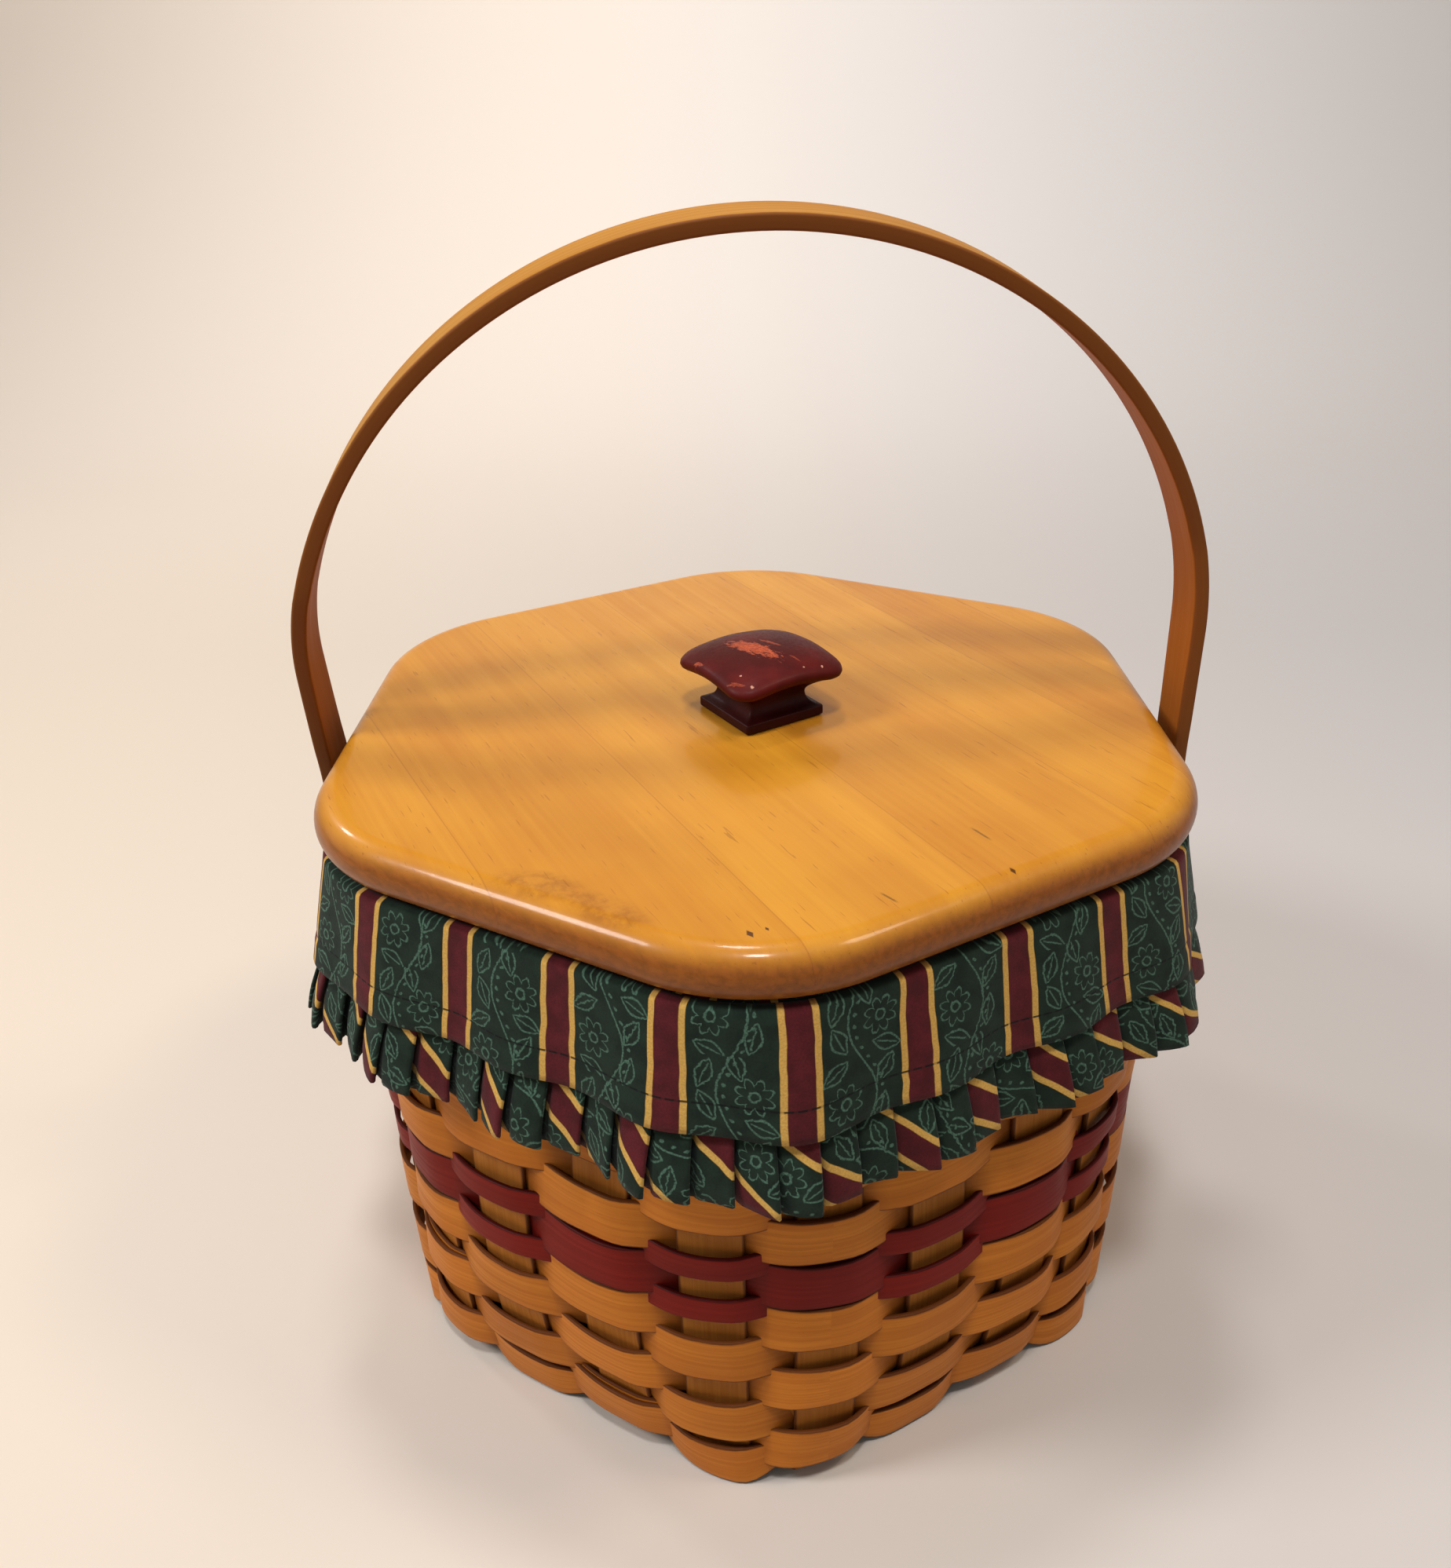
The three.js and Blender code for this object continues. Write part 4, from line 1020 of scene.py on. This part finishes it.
def addTacks():
    face = handle["tailMiddle"] + handle["thickness"] / 2
    for sideName, sign in (("Left", -1), ("Right", 1)):
        for i, (y, z) in enumerate(tacks["places"]):
            name = f"tack{sideName}{i + 1}"
            mesh = turnedMesh(name, (sign * face, y, z), (sign, 0, 0), tacks["head"])
            addPiece(name, mesh, "basket", tackSteel)


addHandle()
addTacks()
print("handle bent")


# Lid: a glued panel with a full round edge

lid = {"apothem": 108.0, "corner": 47.5, "roundSteps": 26, "cornerSteps": 18, "flatSteps": 6}


# A hexagon with round corners as a ring of points, evenly laid on corners and flats
def hexRing(line, z):
    spots = []
    for corner in range(6):
        start = corner * line.side - line.bend / 2
        spots += evenSteps(start, start + line.bend, lid["cornerSteps"])
        spots += evenSteps(start + line.bend, start + line.side, lid["flatSteps"])[1:-1]
    return [line.at(spot, z) for spot in spots]


def addLid():
    low, high = nodeBox("lid_panel")
    half = (high.z - low.z) / 2
    middle = (high.z + low.z) / 2
    rings = []
    for angle in evenSteps(-math.pi / 2, math.pi / 2, lid["roundSteps"]):
        inset = half * (1 - math.cos(angle))
        line = HexLine(lid["apothem"] - inset, lid["corner"] - inset)
        rings.append(hexRing(line, middle + half * math.sin(angle)))
    mesh = skin("lid_board", rings, range(len(rings)))
    addPiece("lid_board", mesh, "lid", lidWood, ["lid_panel"], eased=True)


addLid()
print("lid laid on")


# Knob: a turned square with a sharp waist and a pillowed cap whose corners hang

knob = {
    "place": (2.8, -3.9), "turn": 32.0,  # degrees
    "foot": [(11.6, 0.0), (11.9, 0.12), (12.0, 0.4), (12.0, 2.25), (11.9, 2.5), (11.6, 2.62)],
    "cove": [(11.6, 2.62), (7.6, 3.2), (6.8, 9.6), (14.9, 12.0)],  # control points
    "cap": [
        (14.9, 12.0), (16.1, 12.5), (16.9, 13.2), (17.2, 14.1), (17.05, 14.9), (16.5, 15.6),
        (15.4, 16.3), (13.4, 17.1), (10.8, 17.85), (7.8, 18.45), (4.2, 18.87), (0.6, 19.0),
    ],
    "footCorner": 0.7, "waistCorner": 0.8, "capCorner": 6.4,
    "droop": 2.4,  # how far the corners of the cap would hang below the middle of its sides
    "droopPower": 1.7,  # over 1, the hang gathers towards the corners
    "coveCorner": 5.12, "coveDroop": 2.16,  # corner and droop where the cove meets the cap
    "coveSteps": 16, "cornerSteps": 8, "flatSteps": 8,
}


def squareRing(half, corner, z, droop):
    corner = min(corner, half * 0.98)
    straight = half - corner
    points = []
    for angle in evenSteps(0, math.pi / 2, knob["cornerSteps"]):
        points.append((straight + corner * math.cos(angle), straight + corner * math.sin(angle)))
    points += [(x, half) for x in evenSteps(straight, -straight, knob["flatSteps"])[1:-1]]
    ring = []
    for i in range(4):
        turned = Matrix.Rotation(math.pi / 2 * i + math.radians(knob["turn"]), 2)
        for x, y in points:
            near = abs(x * y) / half ** 2
            flat = Vector(knob["place"]) + turned @ Vector((x, y))
            ring.append(Vector((flat.x, flat.y, z - droop * near ** knob["droopPower"])))
    return ring


def addKnob():
    base = nodeBox("knob")[0].z
    levels = [(half, knob["footCorner"], z, 0.0) for half, z in knob["foot"]]
    cove = curve(knob["cove"], knob["coveSteps"])[1:]
    for i, point in enumerate(cove):
        # the cap's round corners and its hang come in over the upper part of the cove
        share = (i + 1) / len(cove)
        corner = knob["waistCorner"] + (knob["coveCorner"] - knob["waistCorner"]) * share ** 4
        levels.append((point.x, corner, point.y, knob["coveDroop"] * smoothStep(share * 1.8 - 0.8)))
    widest = max(half for half, z in knob["cap"])
    for half, z in knob["cap"]:
        share = half / widest
        levels.append((half, knob["capCorner"] * share, z, knob["droop"] * share ** 2))
    rings = [squareRing(half, corner, base + z, droop) for half, corner, z, droop in levels]
    mesh = skin("knob_block", rings, [level[2] for level in levels])
    addPiece("knob_block", mesh, "lid", knobPaint, ["knob"], eased=True)


addKnob()
print("knob fixed")


# Cloth: a bag folded out over the rim, a plain band round the rim and a ruffle sewn behind its hem

cloth = {
    "thickness": 0.45,
    "skirtMiddle": 5.2, "skirtDrop": 28.5, "skirtFlare": 0.19, "cornerGrowth": 0.12,
    "wave": 1.3, "wavePitch": 36.0, "slot": 23.0,
    "curl": ((0.0, -2.7), (0.05, -1.4), (0.3, -0.45), (0.8, -0.1), (1.5, 0.0)),  # drop, inward at the rim
    "turnedOver": 2.5,  # cloth of the band that the curl takes
    "topGap": 0.3,  # the band starts that far below the plain one
    "hemProud": 0.22, "stitchPull": 0.2,  # the hem is two layers thick, and its stitches draw it in
    "hemFrom": 0.3, "hemOver": 0.8,  # from the stitches, where the hem begins and reaches its full height
    "pullReach": 0.7,  # how far the stitches' pull is felt
    "creases": ((61, 0.16), (97, 0.11), (143, 0.07)),  # radians along a half, and depth
    "ruffleDrop": 17.0, "ruffleTuck": 4.0, "ruffleKick": 0.8, "ruffleBehind": 1.1,
    "pleatPitch": 9.5, "pleatDepth": 3.6, "pleatPress": 0.5, "pleatLip": 0.34,
    "pleatHidden": 5.5,  # cloth that a pleat keeps out of sight under the next one
    "lips": (0.75, 1.1), "swells": (0.85, 1.1), "sways": (-0.12, 0.12),  # no two pleats are alike
    "longer": (-0.5, 0.2),  # how much further down one pleat may hang
    "billow": 0.35,  # how far a pleat's face swells out at half its height
    "linerInside": -4.8, "floorLift": 0.4, "foldDrop": 0.55,  # its floor and fold, from the plain solid's
    "floorRings": (0.96, 0.85, 0.7, 0.5, 0.3, 0.15, 0.06, 0.02),  # shares of the way in to the middle
    "floorBend": (0.5, 0.004),  # where its floor turns up: rise, share of the way in
    "wallFrom": 1.6, "wallTo": 1.8,  # its straight wall, above the floor and below the fold
    # over the rim: how far below the fold, and how far out from the middle of the wall
    "overRim": ((0.9, -4.7), (0.25, -4.3), (0, -3.5), (0, -1.0), (0, 1.5), (0.05, 3.4)),
    "linerReach": 155.0,  # cloth that goes up the wall and over the rim, on each side
    "linerArea": 0.148,  # square metres: floor and side, cut in one hexagon less its darts
    "bandColumns": 220, "bandRows": 16, "ruffleRows": 12, "linerColumns": 144, "linerRows": 23,
}
skirtTop = nodeBox("skirt_band_front")[1].z


def skirtLine(z):
    hang = skirtTop - z
    apothem = wall["rimApothem"] + cloth["skirtMiddle"] + hang * cloth["skirtFlare"]
    corner = wall["rimCorner"] + cloth["skirtMiddle"] + hang * cloth["cornerGrowth"]
    return HexLine(apothem, corner)


def skirtSpan(z):
    return 3 * skirtLine(z).side - cloth["slot"]


# A point of the skirt, at a share of the way from one slot of the handle to the other
def skirtPoint(half, share, z, proud):
    line = skirtLine(z)
    start = (-1.5 if half == "front" else 1.5) * line.side + cloth["slot"] / 2
    waves = round(3 * skirtLine(skirtTop).side / cloth["wavePitch"])
    hang = (skirtTop - z) / cloth["skirtDrop"]
    wave = cloth["wave"] * hang * math.sin(2 * math.pi * waves * share)
    return line.at(start + skirtSpan(z) * share, z, proud + wave)


def addCloth(name, mesh, material, nodes):
    piece = addPiece(name, mesh, "basket", material, nodes)
    thick = piece.modifiers.new("clothThickness", "SOLIDIFY")
    thick.thickness = cloth["thickness"] * mm
    thick.offset = 0.0


# Small creases that run down from the fold over the rim
def crease(share, hang, seed):
    depth = 0.0
    for i, (turns, size) in enumerate(cloth["creases"]):
        depth += size * math.sin(share * turns + seed * (i + 1.7) + hang * 1.3)
    return depth * (0.35 + 0.65 * math.sin(math.pi * min(hang * 1.1, 1)))


def addBand(half, seed):
    below = evenSteps(cloth["curl"][-1][0], cloth["skirtDrop"], cloth["bandRows"])[1:]
    path = list(cloth["curl"]) + [(drop, 0.0) for drop in below]
    rings = []
    for share in evenSteps(0, 1, cloth["bandColumns"]):
        ring = []
        for drop, inward in path:
            past = drop - fabric["stitchRow"]
            hem = cloth["hemProud"] * smoothStep((past - cloth["hemFrom"]) / cloth["hemOver"])
            hem -= cloth["stitchPull"] * math.exp(-(past / cloth["pullReach"]) ** 2)
            proud = inward + hem + crease(share, drop / cloth["skirtDrop"], seed)
            ring.append(skirtPoint(half, share, skirtTop - cloth["topGap"] - drop, proud))
        rings.append(ring)
    span = skirtSpan(skirtTop - cloth["skirtDrop"] / 2)
    alongs = evenSteps(0, span, cloth["bandColumns"])
    mesh = skin(f"skirt_{half}", rings, alongs, [drop for drop, inward in path], tone=seed, tube=False)
    addCloth(f"skirt_{half}", mesh, bandCloth, [f"skirt_band_{half}"])


# A pleat's cloth from its root under the last fold, over its face, round its own fold and back:
# (share of the pitch, rise, painted shade where it lies deep under a fold), and on the fold and back the
# share of the lip
def pleatPath(lip):
    root = [(0.0, 0.0, 1.0), (lip * 0.7, 0.05, 1.0), (lip + 0.03, 0.11, 1.0)]
    face = [(lip + 0.1, 0.32, 0.55), (lip + 0.2, 0.5, 0.12), (0.78, 0.7, 0.0), (1.0, 0.85, 0.0)]
    fold = [(0.55, 0.96, 0.0), (0.88, 1.0, 0.0), (1.0, 0.9, 0.3), (0.9, 0.76, 0.8)]
    back = [(0.55, 0.55, 1.0), (0.2, 0.25, 1.0)]
    return root + face + [(1 + lip * x, lift, dark) for x, lift, dark in fold + back]


def addRuffle(half, seed):
    top = skirtTop - cloth["skirtDrop"] + cloth["ruffleTuck"]
    bottom = skirtTop - cloth["skirtDrop"] - cloth["ruffleDrop"]
    pleats = round(skirtSpan(bottom) / cloth["pleatPitch"])
    roll = random.Random(40 + round(seed * 10))
    behind = -cloth["ruffleBehind"] - cloth["ruffleKick"]
    rows = cloth["ruffleRows"]
    rings, alongs, paintedShade = [], [], []
    walked = 0.0
    for i in range(pleats):
        lip = cloth["pleatLip"] * roll.uniform(*cloth["lips"])
        swell, sway, longer = (roll.uniform(*cloth[what]) for what in ("swells", "sways", "longer"))
        before = None
        for x, lift, dark in pleatPath(lip):
            if i == pleats - 1 and x > 1.0:
                break
            ring = []
            for drop in evenSteps(0, 1, rows):
                press = cloth["pleatPress"] + (1 - cloth["pleatPress"]) * drop
                depth = cloth["pleatDepth"] * swell * press
                fold = behind + (cloth["ruffleKick"] - behind) * smoothStep(drop * 1.15)
                z = top + (bottom - longer - top) * drop
                share = (i + x + sway * drop * lift) / pleats
                billow = cloth["billow"] * math.sin(math.pi * drop) * math.sin(math.pi * min(x, 1))
                ring.append(skirtPoint(half, share, z, fold - depth * (1 - lift) + billow))
            if before is not None:
                walked += (ring[rows // 2] - before).length
            before = ring[rows // 2]
            alongs.append(walked)
            rings.append(ring)
            # painted shade in the folds of the pleats
            paintedShade.append(dark)
        walked += cloth["pleatHidden"]
    drops = evenSteps(0, top - bottom, rows)
    mesh = skin(f"pleats_{half}", rings, alongs, drops, tone=seed, tube=False, paintedShade=paintedShade)
    addCloth(f"pleats_{half}", mesh, ruffleCloth, [f"ruffle_{half}"])


# The liner from the middle of its floor, up the wall and over the rim, as
# (height, distance out from the middle of the wall, share of the way in from there)
def linerProfile():
    low, high = nodeBox("liner_bag")
    floor, fold = low.z + cloth["floorLift"], high.z - cloth["foldDrop"]
    inside = cloth["linerInside"]
    bendRise, bendShare = cloth["floorBend"]
    profile = [(floor, inside, share) for share in cloth["floorRings"]]
    profile.append((floor + bendRise, inside, bendShare))
    wallHeights = evenSteps(floor + cloth["wallFrom"], fold - cloth["wallTo"], cloth["linerRows"])
    profile += [(z, inside, 0.0) for z in wallHeights]
    return profile + [(fold - below, out, 0.0) for below, out in cloth["overRim"]]


def addLiner():
    profile = linerProfile()
    columns = cloth["linerColumns"]
    rings = []
    for turn in evenSteps(0, 6, columns):
        ring = []
        for z, out, inward in profile:
            point = wallPoint(turn, z, out)
            ring.append(Vector((point.x * (1 - inward), point.y * (1 - inward), z)))
        rings.append(ring)
    downs = walkedLengths([[point] for point in rings[0]])
    alongs = evenSteps(0, wallAt(wall["rimTop"]).length, columns)
    mesh = skin("liner_cloth", rings, alongs, downs, tube=False)
    addCloth("liner_cloth", mesh, linerCloth, ["liner_bag"])


for half, seed in (("front", 0.35), ("back", 0.7)):
    addBand(half, seed)
    addRuffle(half, seed)
addLiner()
print("cloth hung")


# Light and ground

studio = {
    "floorLeft": (210, 195, 178), "floorRight": (188, 184, 184),
    "farLeft": (243, 230, 217), "farRight": (226, 220, 217),
    "fromLeft": -450.0, "toRight": 450.0,  # where the paper's painted light turns
    "fromNear": 150.0, "toFar": 1400.0,
    "halfWidth": 3000.0, "front": -2400.0, "top": 3000.0,
    "bendFrom": 900.0, "bend": 700.0, "bendSteps": 16,
    "world": (236, 234, 230), "worldStrength": 0.33, "worldSeen": 0.8,
}
lamps = {
    "frontLamp": {"place": (0, -430, 1170), "aim": (0, 0, 150), "size": 150, "power": 5.1},
    "topLamp": {"place": (-70, 160, 1250), "aim": (0, 0, 150), "size": 160, "power": 3.5},
    "leftLamp": {"place": (-900, -280, 1000), "aim": (0, 0, 120), "size": 320, "power": 8.5},
    "rightLamp": {"place": (620, -160, 1150), "aim": (0, 0, 100), "size": 260, "power": 3.8,
                  "colour": (255, 236, 214)},
    "rimLamp": {"place": (-1000, 650, 950), "aim": (0, 0, 160), "size": 160, "power": 2.8},
    "backLamp": {"place": (0, 900, 1000), "aim": (0, 1700, 650), "size": 900, "power": 4.3},
}


# Plain paper with painted light: warmer on the left, greyer on the right and paler far behind
def groundPaper(spec):
    r = Recipe("groundPaper")
    x, y = r.place()[:2]
    across = r.ramp(x, spec["fromLeft"], spec["toRight"])
    near = r.blend(across, spec["floorLeft"], spec["floorRight"])
    far = r.blend(across, spec["farLeft"], spec["farRight"])
    return r.finish(r.blend(r.ramp(y, spec["fromNear"], spec["toFar"]), near, far), 0.9)


def addGround():
    # a floor that sweeps up into a backdrop far behind the basket
    bend = studio["bend"]
    depths = [(studio["front"], 0)]
    for angle in evenSteps(0, math.pi / 2, studio["bendSteps"]):
        depths.append((studio["bendFrom"] + bend * math.sin(angle), bend - bend * math.cos(angle)))
    depths.append((studio["bendFrom"] + bend, studio["top"]))
    points, faces = [], []
    for y, z in depths:
        points.extend([Vector((x, y, z)) * mm for x in (-studio["halfWidth"], studio["halfWidth"])])
    for i in range(len(depths) - 1):
        faces.append((2 * i, 2 * i + 1, 2 * i + 3, 2 * i + 2))
    mesh = bpy.data.meshes.new("ground")
    mesh.from_pydata(points, [], faces)
    mesh.shade_smooth()
    mesh.materials.append(groundPaper(studio))
    addObject("ground", mesh)


def addLamp(name, place, aim, size, power, colour=(255, 255, 255)):
    data = bpy.data.lights.new(name, "AREA")
    data.shape = "DISK"
    data.size = size * mm
    data.energy = power
    data.color = paint(*colour)[:3]
    lamp = addObject(name, data)
    lamp.location = Vector(place) * mm
    lamp.rotation_euler = (Vector(aim) - Vector(place)).to_track_quat("-Z", "Y").to_euler()


# The room lights the basket softly, and shows paler behind it and in what it reflects
def addWorld():
    world = bpy.data.worlds.new("softRoom")
    bpy.context.scene.world = world
    world.use_nodes = True
    tree = world.node_tree
    background = tree.nodes["Background"]
    background.inputs["Color"].default_value = paint(*studio["world"])
    path = tree.nodes.new("ShaderNodeLightPath")
    seen = path.outputs["Is Camera Ray"]
    for output in ("Is Glossy Ray", "Is Transmission Ray"):
        either = tree.nodes.new("ShaderNodeMath")
        either.operation = "MAXIMUM"
        tree.links.new(seen, either.inputs[0])
        tree.links.new(path.outputs[output], either.inputs[1])
        seen = either.outputs[0]
    strength = tree.nodes.new("ShaderNodeMapRange")
    strength.inputs["To Min"].default_value = studio["worldStrength"]
    strength.inputs["To Max"].default_value = studio["worldSeen"]
    tree.links.new(seen, strength.inputs["Value"])
    tree.links.new(strength.outputs[0], background.inputs["Strength"])


addGround()
for name, spec in lamps.items():
    addLamp(name, **spec)
addWorld()
print("lights set")
